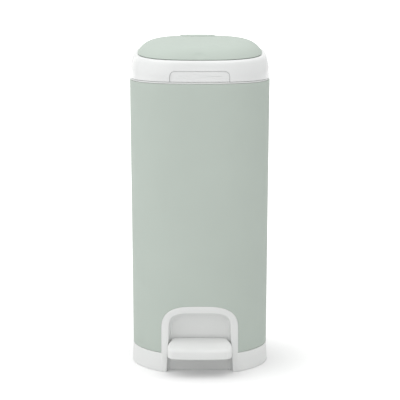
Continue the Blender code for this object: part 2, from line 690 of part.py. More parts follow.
def head_knuckles(piece, owner):
    """Barrels of the head hinge that belong to the ring or to the collar, with a web to each."""
    axis_y, axis_z = HEAD_AXIS
    if owner == "ring":
        web_low, web_high = RING_FOOT, RING_TOP
    else:
        web_low, web_high = COLLAR_FOOT, axis_z + HEAD_BARREL_RADIUS * 2
    wall_y = TOP_DEPTH / 2 - (RING_LIP / 2 if owner == "ring" else WALL * 0.9)
    for start, end, holder in HEAD_KNUCKLES:
        if holder != owner:
            continue
        for side in (-1, 1) if start else (0,):
            low, high = (-end, end) if side == 0 else sorted((side * start, side * end))
            join(piece, f"{owner}_web_{side}_{end:.3f}",
                 box((low, wall_y, web_low), (high, axis_y, web_high)), BIN)
            join(piece, f"{owner}_knuckle_{side}_{end:.3f}",
                 rod(HEAD_BARREL_RADIUS, (low, axis_y, axis_z), (high, axis_y, axis_z)), BIN)
    reach = HEAD_KNUCKLES[-1][1] + OVERRUN
    cut(piece, owner + "_pin_bore", rod(PIN_RADIUS + GAP, (-reach, axis_y, axis_z),
                                        (reach, axis_y, axis_z)), BIN)


def make_rim_ring():
    skirt_foot = RING_FOOT - RING_SKIRT_DEPTH
    outside = WALL + SPIGOT_CLEARANCE
    inside = outside + THROAT_WALL
    piece = part("rim_ring", loft([
        top_ring(RING_INSET, RING_FOOT), top_ring(RING_INSET, RING_TOP),
        top_ring(RING_LIP, RING_TOP), top_ring(RING_LIP, RING_FOOT),
        body_ring(RING_FOOT, inside), body_ring(skirt_foot, inside),
        body_ring(skirt_foot, outside), body_ring(RING_FOOT, outside)], looped=True), BIN, WHITE)
    head_knuckles(piece, "ring")
    reach = HEAD_KNUCKLES[-1][1] - GAP
    part("head_hinge_pin", rod(PIN_RADIUS, (-reach, *HEAD_AXIS), (reach, *HEAD_AXIS)), BIN, STEEL)


def shoulder_ring(height_share, inset_share, extra):
    half_width = TOP_WIDTH / 2 - (TOP_WIDTH - LID_WIDTH) / 2 * inset_share - extra
    half_depth = TOP_DEPTH / 2 - (TOP_DEPTH - LID_DEPTH) / 2 * inset_share - extra
    squareness = TOP_SQUARENESS + (LID_SQUARENESS - TOP_SQUARENESS) * inset_share
    top = seam_plane(0.0)
    return plan_ring(half_width, half_depth, squareness,
                     lambda x, y: COLLAR_FOOT + (top(x, y) - COLLAR_FOOT) * height_share)


def panel_outline(margin):
    half, top, corner = PANEL_WIDTH / 2 + margin, COLLAR_FOOT + PANEL_HEIGHT + margin, PANEL_CORNER
    steps = 5
    outline = [(half, COLLAR_FOOT - (OVERRUN if margin else 0))]
    for index in range(steps + 1):
        angle = math.pi / 2 * index / steps
        outline.append((half - corner + corner * math.cos(angle), top - corner + corner * math.sin(angle)))
    return outline + [(-x, z) for x, z in reversed(outline)]


def rear_slot():
    """Room for the horn and for the rod's tip when the head tilts away from it."""
    return box((-SLOT_HALF_WIDTH, SLOT_FRONT, -LEDGE_DROP * 2),
               (SLOT_HALF_WIDTH, LID_DEPTH / 2 - LIP_INSET / 2, OVERRUN))


def make_collar():
    inner_shares = [pair for pair in SHOULDER_SHARES if pair[0] <= INNER_SHARE]
    rings = [shoulder_ring(height, inset, 0.0) for height, inset in SHOULDER_SHARES]
    rings += [lid_ring(LIP_INSET, seam_plane(0.0)), lid_ring(LIP_INSET, seam_plane(LEDGE_TOP)),
              lid_ring(LIP_INSET + LEDGE_WIDTH, seam_plane(LEDGE_TOP)),
              lid_ring(LIP_INSET + LEDGE_WIDTH, seam_plane(LEDGE_TOP - WALL))]
    rings += [shoulder_ring(height, inset, WALL) for height, inset in reversed(inner_shares)]
    piece = part("head_collar", loft(rings, looped=True), BIN, GLOSS)
    cut(piece, "panel_window", prism(panel_outline(GAP), "Y", -TOP_DEPTH, -TOP_DEPTH / 4), BIN)
    notch_half = POST_OUTER + NOTCH_MARGIN
    hinge_y, hinge_z = LID_HINGE
    notch_floor = hinge_z - BARREL_RADIUS - NOTCH_MARGIN
    cut(piece, "hinge_notch", box((-notch_half, hinge_y - BARREL_RADIUS - NOTCH_MARGIN, notch_floor),
                                  (notch_half, LID_DEPTH, OVERRUN)), LID)
    for side in (-1, 1):
        low, high = sorted((side * (KNUCKLE_OUTER + GAP), side * POST_OUTER))
        join(piece, f"post_{side}", box((low, hinge_y - BARREL_RADIUS, notch_floor - WALL / 2),
                                        (high, hinge_y + BARREL_RADIUS, hinge_z)), LID)
        join(piece, f"post_barrel_{side}", rod(BARREL_RADIUS, (low, hinge_y, hinge_z),
                                               (high, hinge_y, hinge_z)), LID)
    cut(piece, "post_bore", rod(PIN_RADIUS + GAP, (-POST_OUTER - OVERRUN, hinge_y, hinge_z),
                                (POST_OUTER + OVERRUN, hinge_y, hinge_z)), LID)
    cut(piece, "collar_slot", rear_slot(), LID)
    for name, place in screw_places().items():
        cut(piece, name + "_pilot", rod(SCREW_SHANK_RADIUS + GAP, (*place, LEDGE_TOP - OVERRUN),
                                        (*place, LEDGE_TOP + GAP * 2)), LID)
    head_knuckles(piece, "collar")


def make_release_panel():
    shares = [pair for pair in SHOULDER_SHARES if pair[0] <= INNER_SHARE]
    rings = [shoulder_ring(height, inset, PANEL_INSET) for height, inset in shares]
    rings += [shoulder_ring(height, inset, PANEL_INSET + WALL) for height, inset in reversed(shares)]
    piece = part("release_panel", loft(rings, looped=True), BIN, GLOSS)
    combine(piece, tool("panel_shape", prism(panel_outline(0.0), "Y", -TOP_DEPTH, -TOP_DEPTH / 4), BIN),
            "INTERSECT")
    back = -TOP_DEPTH / 2 + PANEL_INSET + WALL
    lip = -TOP_DEPTH / 2 + RING_LIP
    hook_top = RING_FOOT - HOOK_DROP
    leg_front = lip + PANEL_TRAVEL
    leg_back = leg_front + HOOK_THICKNESS
    outline = [(back - WALL / 2, COLLAR_FOOT + HOOK_THICKNESS),
               (back - WALL / 2, COLLAR_FOOT + HOOK_THICKNESS * 2),
               (leg_back, COLLAR_FOOT + HOOK_THICKNESS * 2), (leg_back, hook_top - HOOK_HEIGHT),
               (lip - HOOK_GRIP, hook_top - HOOK_HEIGHT / 3), (lip - HOOK_GRIP, hook_top),
               (leg_front, hook_top), (leg_front, COLLAR_FOOT + HOOK_THICKNESS)]
    join(piece, "hook", prism(outline, "X", -HOOK_HALF_WIDTH, HOOK_HALF_WIDTH), BIN)
    level = COLLAR_FOOT + PANEL_HEIGHT * CATCH_SPRING_SHARE
    tube_front = THROAT_OFFSET - THROAT_RADIUS - THROAT_WALL
    part("catch_spring", helix(CATCH_SPRING_RADIUS, CATCH_WIRE, CATCH_SPRING_TURNS,
                               (0, back + WALL / 2, level),
                               (0, tube_front - GAP - CATCH_WIRE, level)), BIN, STEEL)


# Cassette holder, cassette, jaws and cutter
def screw_places():
    inset = LIP_INSET + LEDGE_WIDTH / 2
    ring = lid_ring(inset, 0.0)
    count = len(ring)
    return {f"deck_screw_{index + 1}": ring[round(count * share)][:2]
            for index, share in enumerate(SCREW_SHARES)}


def make_holder():
    ledge_upper = THROAT_FOOT + THROAT_WALL
    tube = THROAT_RADIUS + THROAT_WALL
    rim = LIP_INSET + SPIGOT_CLEARANCE
    piece = part("cassette_holder", loft([
        lid_ring(rim, DECK_UPPER), round_ring(THROAT_RADIUS, DECK_UPPER, THROAT_OFFSET),
        round_ring(THROAT_RADIUS, ledge_upper, THROAT_OFFSET),
        round_ring(CASSETTE_BORE, ledge_upper, THROAT_OFFSET),
        round_ring(CASSETTE_BORE, THROAT_FOOT, THROAT_OFFSET),
        round_ring(tube, THROAT_FOOT, THROAT_OFFSET),
        round_ring(tube, DECK_LOWER, THROAT_OFFSET), lid_ring(rim, DECK_LOWER)], looped=True), LID, WHITE)
    cut(piece, "deck_slot", rear_slot(), LID)
    for name, (x, y) in screw_places().items():
        cut(piece, name + "_hole", rod(SCREW_SHANK_RADIUS + GAP, (x, y, DECK_LOWER - GAP * 2),
                                       (x, y, DECK_UPPER + OVERRUN)), LID)
        screw = loft([round_ring_at(SCREW_SHANK_RADIUS, x, y, DECK_UPPER + GAP - SCREW_LENGTH),
                      round_ring_at(SCREW_SHANK_RADIUS, x, y, DECK_UPPER + GAP),
                      round_ring_at(SCREW_HEAD_RADIUS, x, y, DECK_UPPER + GAP),
                      round_ring_at(SCREW_HEAD_RADIUS, x, y, DECK_UPPER + GAP + SCREW_HEAD_HEIGHT)])
        part(name, screw, LID, STEEL)
    for side in (-1, 1):
        for end in (-1, 1):
            x, y = side * JAW_AXIS, THROAT_OFFSET + end * LUG_PLACE
            half = LUG_THICKNESS / 2
            lug = box((x - LUG_WIDTH / 2, y - half, JAW_LEVEL - LUG_WIDTH / 2),
                      (x + LUG_WIDTH / 2, y + half, THROAT_FOOT + THROAT_WALL / 2))
            join(piece, f"jaw_lug_{side}_{end}", lug, LID)
        reach = LUG_PLACE + OVERRUN
        ends = [(side * JAW_AXIS, THROAT_OFFSET + end * reach, JAW_LEVEL) for end in (-1, 1)]
        cut(piece, f"jaw_bore_{side}", rod(JAW_PIN_RADIUS + GAP, *ends), LID)


def round_ring_at(radius, x, y, height, steps=10):
    return [(x + radius * math.cos(2 * math.pi * index / steps),
             y + radius * math.sin(2 * math.pi * index / steps), height) for index in range(steps)]


def make_cassette():
    foot = THROAT_FOOT + THROAT_WALL + GAP
    outer, inner = THROAT_RADIUS - CASSETTE_PLAY, CASSETTE_BORE + CASSETTE_PLAY
    head = foot + CASSETTE_HEIGHT
    part("liner_cassette", loft([
        round_ring(outer, foot, THROAT_OFFSET), round_ring(outer, head, THROAT_OFFSET),
        round_ring(inner, head, THROAT_OFFSET), round_ring(inner, foot, THROAT_OFFSET)],
        looped=True), LID, GREY)


def make_jaws():
    for name, side in (("left", -1), ("right", 1)):
        x = side * JAW_AXIS
        steps = 16
        outline = []
        for index in range(steps + 1):
            angle = math.pi * (index / steps - 0.5)
            outline.append((side * (JAW_RADIUS * math.cos(angle) + GAP),
                            THROAT_OFFSET + JAW_RADIUS * math.sin(angle)))
        half = JAW_THICKNESS / 2
        piece = part(f"jaw_{name}", prism(outline, "Z", JAW_LEVEL - half, JAW_LEVEL + half), LID, WHITE)
        low, high = sorted((side * JAW_RADIUS / 2, x))
        join(piece, f"jaw_{name}_root", box((low, THROAT_OFFSET - JAW_BARREL_HALF, JAW_LEVEL - half),
                                            (high, THROAT_OFFSET + JAW_BARREL_HALF, JAW_LEVEL + half)), LID)
        ends = [(x, THROAT_OFFSET + end * JAW_BARREL_HALF, JAW_LEVEL) for end in (-1, 1)]
        join(piece, f"jaw_{name}_barrel", rod(JAW_BARREL_RADIUS, *ends), LID)
        reach = JAW_BARREL_HALF + OVERRUN
        cut(piece, f"jaw_{name}_bore", rod(JAW_PIN_RADIUS + GAP, (x, THROAT_OFFSET - reach, JAW_LEVEL),
                                           (x, THROAT_OFFSET + reach, JAW_LEVEL)), LID)
        reach = LUG_PLACE + LUG_THICKNESS
        part(f"jaw_pin_{name}", rod(JAW_PIN_RADIUS, (x, THROAT_OFFSET - reach, JAW_LEVEL),
                                    (x, THROAT_OFFSET + reach, JAW_LEVEL), 12), LID, STEEL)
        start = JAW_BARREL_HALF + GAP + JAW_WIRE
        end = LUG_PLACE - LUG_THICKNESS / 2 - GAP - JAW_WIRE
        part(f"jaw_spring_{name}", helix(JAW_PIN_RADIUS + JAW_WIRE + GAP, JAW_WIRE, SPRING_TURNS,
                                         (x, THROAT_OFFSET + start, JAW_LEVEL),
                                         (x, THROAT_OFFSET + end, JAW_LEVEL)), LID, STEEL)


def make_cutter():
    wall = -THROAT_RADIUS - THROAT_WALL
    top = DECK_LOWER - GAP
    low = top - CUTTER_HEIGHT
    piece = part("liner_cutter", box((wall - GAP - CUTTER_LENGTH, THROAT_OFFSET - CUTTER_DEPTH / 2, low),
                                     (wall - GAP, THROAT_OFFSET + CUTTER_DEPTH / 2, top)), LID, GREY)
    middle = wall - GAP - CUTTER_LENGTH / 2
    mouth = CUTTER_LENGTH / 4
    depth = low + CUTTER_HEIGHT / 2
    vee = [(middle - mouth, low - GAP), (middle + mouth, low - GAP), (middle + CUTTER_SLOT / 2, depth),
           (middle - CUTTER_SLOT / 2, depth)]
    cut(piece, "cutter_mouth", prism(vee, "Y", THROAT_OFFSET - CUTTER_DEPTH,
                                     THROAT_OFFSET + CUTTER_DEPTH), LID)
    thick = BLADE_THICKNESS / 2
    reach = CUTTER_LENGTH / 2 - mouth / 2
    room = reach + GAP
    cut(piece, "blade_slot", box((middle - room, THROAT_OFFSET - thick - GAP, low + WALL),
                                 (middle + room, THROAT_OFFSET + thick + GAP, depth + WALL + GAP)), LID)
    part("cutter_blade", prism([(middle - reach, low + WALL + GAP), (middle + reach, low + WALL + GAP),
                                (middle + reach, depth + WALL), (middle - reach, depth + WALL)], "Y",
                               THROAT_OFFSET - thick, THROAT_OFFSET + thick), LID, STEEL)


# Lid
def dome_height(share):
    return SEAM_GAP + DOME_HEIGHT * (1 - share ** DOME_FULLNESS)


def lid_point(share):
    """Front point of the dome at a share of the lid's half depth, and its outward normal in Y and Z."""
    slope = DOME_HEIGHT * DOME_FULLNESS * share ** (DOME_FULLNESS - 1) / (LID_DEPTH / 2)
    normal = Vector((0, -slope, 1)).normalized()
    return Vector((0, -LID_DEPTH / 2 * share, dome_height(share))), normal


def make_lid_cover():
    rings = [lid_ring(0.0, dome_height(share), share) for share in DOME_SHARES]
    rings.append(lid_ring(WALL, SEAM_GAP))
    rings += [lid_ring(WALL, dome_height(share) - WALL, share) for share in reversed(DOME_SHARES[:-2])]
    piece = part("lid_cover", loft(rings), LID, SAGE)
    hinge_y = LID_HINGE[0]
    notch_half = POST_OUTER + NOTCH_MARGIN
    cut(piece, "cover_notch", box((-notch_half, hinge_y - BARREL_RADIUS - NOTCH_MARGIN - WALL, -OVERRUN),
                                  (notch_half, LID_DEPTH, DOME_HEIGHT)), LID)
    floor = lock_floor()
    recess = loft([plan_ring(LOCK_RECESS_LENGTH / 2, LOCK_RECESS_WIDTH / 2, LOCK_RECESS_SQUARENESS, level,
                             LOCK_PLACE, ROUND_STEPS * 2) for level in (floor, DOME_HEIGHT + OVERRUN)])
    cut(piece, "lock_recess", recess, LID)
    reach = (LOCK_STEM_WIDTH + LOCK_TRAVEL) / 2 + GAP * 2
    width = LOCK_STEM_WIDTH / 2 + GAP
    cut(piece, "lock_slot", box((-reach, LOCK_PLACE - width, floor - WALL * 2),
                                (reach, LOCK_PLACE + width, floor + WALL)), LID)
    point, normal = lid_point(SCOOP_SHARE)
    bm = bmesh.new()
    bmesh.ops.create_uvsphere(bm, u_segments=48, v_segments=48, radius=SCOOP_RADIUS,
                              matrix=Matrix.Translation(point + normal * (SCOOP_RADIUS - SCOOP_DEPTH)))
    cut(piece, "finger_scoop", mesh_from(bm), LID)


def lock_floor():
    return dome_height(LOCK_PLACE / (LID_DEPTH / 2)) - LOCK_RECESS_DEPTH


def make_lock():
    floor = lock_floor()
    rest = -LOCK_TRAVEL / 2
    foot = floor + GAP
    top = foot + LOCK_HEIGHT
    rings = [plan_ring(LOCK_LENGTH / 2 - edge, LOCK_WIDTH / 2 - edge, LOCK_SQUARENESS, level, LOCK_PLACE,
                       ROUND_STEPS * 2)
             for edge, level in ((0.0, foot), (0.0, foot + LOCK_HEIGHT / 2), (LOCK_HEIGHT / 2, top))]
    slid = LID @ Matrix.Translation((rest, 0, 0))
    piece = part("child_lock", loft(rings), slid, SAGE)
    grip = [plan_ring(GRIP_LENGTH / 2 * share, GRIP_WIDTH / 2 * share, LOCK_SQUARENESS, level, LOCK_PLACE,
                      ROUND_STEPS)
            for share, level in ((GRIP_FLOOR_SHARE, top - GRIP_DEPTH), (1.0, top), (1.0, top + OVERRUN))]
    cut(piece, "lock_grip", loft(grip), slid)
    half = LOCK_STEM_WIDTH / 2
    join(piece, "lock_stem", box((-half, LOCK_PLACE - half, floor - LOCK_STEM_DEPTH),
                                 (half, LOCK_PLACE + half, foot + LOCK_HEIGHT / 2)), slid)


def make_lid_liner():
    hinge_y, hinge_z = LID_HINGE
    low, high = SEAM_GAP + GAP, SEAM_GAP + GAP + WALL
    plate = [lid_ring(WALL + LINER_MARGIN, level) for level in (low, high)]
    piece = part("lid_liner", loft(plate), LID, WHITE)
    front = hinge_y - BARREL_RADIUS - NOTCH_MARGIN
    for side in (-1, 1):
        start, end = sorted((side * KNUCKLE_INNER, side * KNUCKLE_OUTER))
        join(piece, f"liner_web_{side}", box((start, front - WALL, low), (end, hinge_y, high)), LID)
        join(piece, f"liner_barrel_{side}", rod(BARREL_RADIUS, (start, hinge_y, hinge_z),
                                                (end, hinge_y, hinge_z)), LID)
        start, end = sorted((side * (KNUCKLE_OUTER + GAP), side * (POST_OUTER + NOTCH_MARGIN)))
        cut(piece, f"post_room_{side}", box((start, front, low - OVERRUN), (end, LID_DEPTH, OVERRUN)), LID)
    cut(piece, "liner_bore", rod(PIN_RADIUS + GAP, (-POST_OUTER - OVERRUN, hinge_y, hinge_z),
                                 (POST_OUTER + OVERRUN, hinge_y, hinge_z)), LID)
    room = CRANK_HALF_WIDTH + GAP
    cut(piece, "crank_room", box((-room, hinge_y - HORN_LENGTH * CRANK_ROOM_SHARE, low - OVERRUN),
                                 (room, LID_DEPTH, OVERRUN)), LID)
    inner, outer = SEAL_RADIUS, SEAL_RADIUS + SEAL_THICKNESS
    seal = [round_ring(radius, level, THROAT_OFFSET) for radius, level in (
        (outer, DECK_UPPER + GAP), (outer, low - GAP), (inner, low - GAP), (inner, DECK_UPPER + GAP))]
    part("lid_seal", loft(seal, looped=True), LID, RUBBER)


def make_crank():
    hinge_y, hinge_z = LID_HINGE
    half = CRANK_HALF_WIDTH
    drop = HORN_ANGLE - SEAM_ANGLE
    along = Vector((-math.cos(drop), -math.sin(drop)))
    across = Vector((math.sin(drop), -math.cos(drop))) * (HORN_THICKNESS / 2)
    hinge = Vector(LID_HINGE)
    tip = hinge + along * HORN_LENGTH
    piece = part("lid_crank", rod(BARREL_RADIUS, (-half, hinge_y, hinge_z),
                                  (half, hinge_y, hinge_z)), LID, GREY)
    horn = [hinge + across, tip + across, tip - across, hinge - across]
    join(piece, "horn", prism(horn, "X", -half, half), LID)
    top = SEAM_GAP
    join(piece, "tongue", box((-half, hinge_y - TONGUE_LENGTH, top - TONGUE_THICKNESS),
                              (half, hinge_y - BARREL_RADIUS / 2, top)), LID)
    cut(piece, "crank_bore", rod(PIN_RADIUS + GAP, (-OVERRUN, hinge_y, hinge_z),
                                 (OVERRUN, hinge_y, hinge_z)), LID)
    reach = POST_OUTER - GAP
    part("lid_hinge_pin", rod(PIN_RADIUS, (-reach, hinge_y, hinge_z), (reach, hinge_y, hinge_z)), LID, STEEL)


# Moving pieces hang on empties that stand on their joints' axes
def joint(name, frame, place, carried, parent=None):
    empty = bpy.data.objects.new(name, None)
    empty.matrix_world = frame @ Matrix.Translation(place)
    PARTS.objects.link(empty)
    if parent is not None:
        hold(empty, parent)
    for piece in carried:
        hold(bpy.data.objects[piece], empty)
    return empty


def hold(child, parent):
    bpy.context.view_layer.update()
    place = child.matrix_world.copy()
    child.parent = parent
    child.matrix_parent_inverse = parent.matrix_world.inverted()
    child.matrix_world = place


def make_joints():
    joint("pedal_joint", BIN, (0, *AXLE), ("pedal", "pedal_lever", "pedal_spring"))
    joint("rod_joint", BIN, (0, ROD_Y, BEARER_TOP), ("push_rod",))
    screws = tuple(screw_places())
    jaw_fixings = tuple(f"jaw_{kind}_{side}" for kind in ("pin", "spring") for side in ("left", "right"))
    head = joint("head_joint", BIN, (0, *HEAD_AXIS), (
        "head_collar", "cassette_holder", "liner_cassette", "liner_cutter", "cutter_blade",
        "catch_spring", "lid_hinge_pin") + screws + jaw_fixings)
    joint("panel_joint", BIN, (0, -TOP_DEPTH / 2, COLLAR_FOOT), ("release_panel",), head)
    for name, side in (("left", -1), ("right", 1)):
        joint(f"jaw_{name}_joint", LID, (side * JAW_AXIS, THROAT_OFFSET, JAW_LEVEL), (f"jaw_{name}",), head)
    lid = joint("lid_joint", LID, (0, *LID_HINGE), ("lid_cover", "lid_liner", "lid_seal", "lid_crank"), head)
    joint("lock_joint", LID, (0, LOCK_PLACE, lock_floor()), ("child_lock",), lid)


make_base_plinth()
make_feet()
make_body_shell()
make_pedal()
make_lever()
make_rod()
make_rod_guide()
make_rim_ring()
make_collar()
make_release_panel()
make_holder()
make_cassette()
make_jaws()
make_cutter()
make_lid_cover()
make_lock()
make_lid_liner()
make_crank()
make_joints()
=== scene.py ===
"""Pedal nappy bin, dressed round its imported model: sage body, white plinth and head, domed lid."""
import json
import math

import bmesh
import bpy
from mathutils import Matrix, Vector


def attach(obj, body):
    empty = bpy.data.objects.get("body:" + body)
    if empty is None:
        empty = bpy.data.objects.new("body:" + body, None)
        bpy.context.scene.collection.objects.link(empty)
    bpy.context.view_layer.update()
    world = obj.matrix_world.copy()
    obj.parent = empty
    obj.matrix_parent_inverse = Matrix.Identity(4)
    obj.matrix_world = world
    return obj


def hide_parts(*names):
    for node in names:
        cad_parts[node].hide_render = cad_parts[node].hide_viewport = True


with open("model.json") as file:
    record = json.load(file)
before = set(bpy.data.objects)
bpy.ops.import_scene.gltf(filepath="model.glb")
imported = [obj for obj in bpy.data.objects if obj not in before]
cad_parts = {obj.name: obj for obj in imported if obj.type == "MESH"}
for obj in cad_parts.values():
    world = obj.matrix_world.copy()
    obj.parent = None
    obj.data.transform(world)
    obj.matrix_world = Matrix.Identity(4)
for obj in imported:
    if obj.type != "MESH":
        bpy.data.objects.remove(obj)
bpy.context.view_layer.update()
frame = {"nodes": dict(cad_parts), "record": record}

# Sizes of the bin, in metres, as its model has them
TOP_WIDTH = 0.254
TOP_DEPTH = 0.238
FOOT_WIDTH = 0.2474
BODY_TOP = 0.5277
BODY_FOOT = 0.0353
TOP_SQUARENESS = 2.8
FOOT_SQUARENESS = 2.0
WALL = 0.0025
GAP = 0.0003
SNAP_GAP = 0.0004
OVERRUN = 0.02
AXIS_Y = 0.0076
RING_FOOT = 0.5280
RING_TOP = 0.5308
COLLAR_FOOT = 0.5312
LID_WIDTH = 0.2266
LID_DEPTH = 0.2170
LID_SQUARENESS = 2.75
SEAM_HEIGHT = 0.5744
SEAM_SLOPE = math.radians(3.2)
LIP_INSET = 0.0048
LEDGE_WIDTH = 0.0075
LEDGE_DROP = 0.0068
# How far the collar has drawn in from the body's plan to the lid's, from its foot at 0 to its lip at 1
SHOULDER = ((0.0, 0.0), (0.25, 0.02), (0.42, 0.07), (0.6, 0.18), (0.76, 0.3),
            (0.87, 0.42), (0.94, 0.56), (0.985, 0.76), (1.0, 0.96))
SHOULDER_INNER_TOP = 0.62
PANEL_HALF_WIDTH = 0.0532
PANEL_HEIGHT = 0.0191
PANEL_CORNER = 0.0100
PANEL_INSET = 0.0012
# Depth of the release panel's face under its border, from its foot at 0 to its top at 1
PANEL_PAD = ((0.0, 0.0), (0.08, 0.0003), (0.18, 0.0012), (0.28, 0.0010), (0.4, 0.0007),
             (0.5, 0.0007), (0.6, 0.0007), (0.75, 0.0003), (0.9, 0.0001), (1.0, 0.0003))
HOOK_HALF_WIDTH = 0.012
DOME_HEIGHT = 0.0210
DOME_FULLNESS = 8.0
SEAM_GAP = 0.0004
LOCK_PLACE = 0.0660
LOCK_RECESS = 0.0012
# The lid's hinge, on the lid's own level, and the bores for both hinge pins
LID_HINGE_Y = LID_DEPTH / 2 - 0.001
LID_HINGE_Z = 0.002
LID_BARREL = 0.0035
LID_BARREL_ROOM = 0.0015
LID_HINGE_HALF = 0.0445
PIN_BORE = 0.0018
ARCH_HALF_WIDTH = 0.0698
ARCH_SPRING = 0.0770
ARCH_CROWN = 0.1266
ARCH_SQUARENESS = 2.8
NICHE_SQUARENESS = 3.6
ARCH_PROUD = 0.0012
ARCH_LIP = 0.0015
NICHE_HALF_WIDTH = 0.0558
NICHE_FOOT_HALF_WIDTH = 0.0608
NICHE_CROWN = 0.1127
NICHE_BACK = -0.0840
VAULT_DROP = 0.0180
VAULT_NARROWING = 0.0055
BAND_DEPTH = 0.0025
SURROUND_THICKNESS = 0.0050
NICHE_WALL = 0.0025
FOOT_RISE = 0.0005
DECK_TOP = 0.0600
PLINTH_PROUD = 0.0018
ARM_PLACE = 0.0400
ARM_SLOT_HALF = 0.0035
ARM_SLOT_FOOT = 0.0220
ARM_SLOT_TOP = 0.0588
AXLE = (0.0150, 0.0240)
ROD_Y = 0.09812
# The pedal's tread, which slopes down from its rear edge to its front edge
TREAD_REAR = -0.0880
TREAD_FRONT = -0.1420
TREAD_REAR_TOP = 0.0612
TREAD_FRONT_TOP = 0.0523

# Points round the bin's large turned shapes, round its small outlines and round the child lock
AROUND = 192
SMALL_AROUND = 160
LOCK_AROUND = 128
# Where the bin's axis and the lid's seam lie
BIN = Matrix.Translation((0, AXIS_Y, 0))
LID = BIN @ Matrix.Translation((0, 0, SEAM_HEIGHT)) @ Matrix.Rotation(SEAM_SLOPE, 4, "X")


# Moulded plastic, steel and rubber
def shader_of(name, colour):
    """A new material, with its nodes, its links and its main shader."""
    made = bpy.data.materials.new(name)
    made.use_nodes = True
    made.diffuse_color = (*colour, 1.0)
    return made, made.node_tree.nodes, made.node_tree.links, made.node_tree.nodes["Principled BSDF"]


def noise(nodes, links, coordinates, scale, detail, roughness=0.5):
    """Add a noise texture, and give its grey value."""
    made = nodes.new("ShaderNodeTexNoise")
    made.inputs["Scale"].default_value = scale
    made.inputs["Detail"].default_value = detail
    made.inputs["Roughness"].default_value = roughness
    links.new(coordinates, made.inputs["Vector"])
    return made.outputs["Fac"]


def ramp(nodes, links, value, start, end, low, high):
    """Go from a low to a high number while the value goes from its start to its end."""
    made = nodes.new("ShaderNodeMapRange")
    for name, number in (("From Min", start), ("From Max", end), ("To Min", low), ("To Max", high)):
        made.inputs[name].default_value = number
    links.new(value, made.inputs["Value"])
    return made.outputs["Result"]


def spread(nodes, links, value, low, high):
    """Stretch a noise, which keeps near a half, over a range."""
    return ramp(nodes, links, value, 0.3, 0.7, low, high)


def blended(nodes, links, share, first, second):
    """Go from one colour to another with a share."""
    made = nodes.new("ShaderNodeMix")
    made.data_type = "RGBA"
    made.inputs["A"].default_value = (*first, 1.0)
    made.inputs["B"].default_value = (*second, 1.0)
    links.new(share, made.inputs["Factor"])
    return made.outputs["Result"]


def bumped(nodes, links, height, strength, distance, under=None):
    """Turn a height into a normal, over an earlier bump where there is one."""
    made = nodes.new("ShaderNodeBump")
    made.inputs["Strength"].default_value = strength
    made.inputs["Distance"].default_value = distance
    links.new(height, made.inputs["Height"])
    if under is not None:
        links.new(under, made.inputs["Normal"])
    return made.outputs["Normal"]


def moulded(name, colour, roughness, grain, ripple, shine=0.5):
    """Injection-moulded plastic: eroded grain, slight shrinkage ripple, faint drift of tone and sheen."""
    drift_scale, haze_scale, ripple_scale, grain_scale, refraction = 9.0, 60.0, 22.0, 1500.0, 1.49
    made, nodes, links, shader = shader_of(name, colour)
    place = nodes.new("ShaderNodeTexCoord").outputs["Object"]
    drift = noise(nodes, links, place, drift_scale, 2.0)
    share = spread(nodes, links, drift, 0.0, 1.0)
    darker = tuple(channel * 0.985 for channel in colour)
    lighter = tuple(min(channel * 1.012, 1.0) for channel in colour)
    links.new(blended(nodes, links, share, darker, lighter), shader.inputs["Base Color"])
    haze = noise(nodes, links, place, haze_scale, 4.0)
    links.new(spread(nodes, links, haze, roughness * 0.9, roughness * 1.12), shader.inputs["Roughness"])
    wave = bumped(nodes, links, noise(nodes, links, place, ripple_scale, 1.0), 0.25, ripple)
    fine = noise(nodes, links, place, grain_scale, 3.0, 0.6)
    links.new(bumped(nodes, links, fine, 0.35, grain, wave), shader.inputs["Normal"])
    shader.inputs["IOR"].default_value = refraction
    shader.inputs["Specular IOR Level"].default_value = shine
    return made


def drawn_steel(name, colour, roughness):
    """Bright drawn wire and rod, with fine streaks along it."""
    streak_scale, tone_scale = 2500.0, 120.0
    made, nodes, links, shader = shader_of(name, colour)
    place = nodes.new("ShaderNodeTexCoord").outputs["Object"]
    stretch = nodes.new("ShaderNodeMapping")
    stretch.inputs["Scale"].default_value = (1.0, 1.0, 0.05)
    links.new(place, stretch.inputs["Vector"])
    streak = noise(nodes, links, stretch.outputs["Vector"], streak_scale, 3.0)
    links.new(spread(nodes, links, streak, roughness * 0.8, roughness * 1.3), shader.inputs["Roughness"])
    tone = noise(nodes, links, place, tone_scale, 3.0)
    share = spread(nodes, links, tone, 0.0, 1.0)
    dull = tuple(channel * 0.9 for channel in colour)
    links.new(blended(nodes, links, share, dull, colour), shader.inputs["Base Color"])
    links.new(bumped(nodes, links, streak, 0.2, 0.00003), shader.inputs["Normal"])
    shader.inputs["Metallic"].default_value = 1.0
    return made


def rubbery(name, colour):
    """Soft black rubber with a dusty, pitted skin."""
    dust_scale, pit_scale = 180.0, 1200.0
    made, nodes, links, shader = shader_of(name, colour)
    place = nodes.new("ShaderNodeTexCoord").outputs["Object"]
    dust = noise(nodes, links, place, dust_scale, 5.0)
    share = spread(nodes, links, dust, 0.0, 1.0)
    dusty = tuple(channel * 1.5 for channel in colour)
    links.new(blended(nodes, links, share, colour, dusty), shader.inputs["Base Color"])
    links.new(spread(nodes, links, dust, 0.65, 0.85), shader.inputs["Roughness"])
    pits = noise(nodes, links, place, pit_scale, 4.0)
    links.new(bumped(nodes, links, pits, 0.4, 0.00008), shader.inputs["Normal"])
    return made


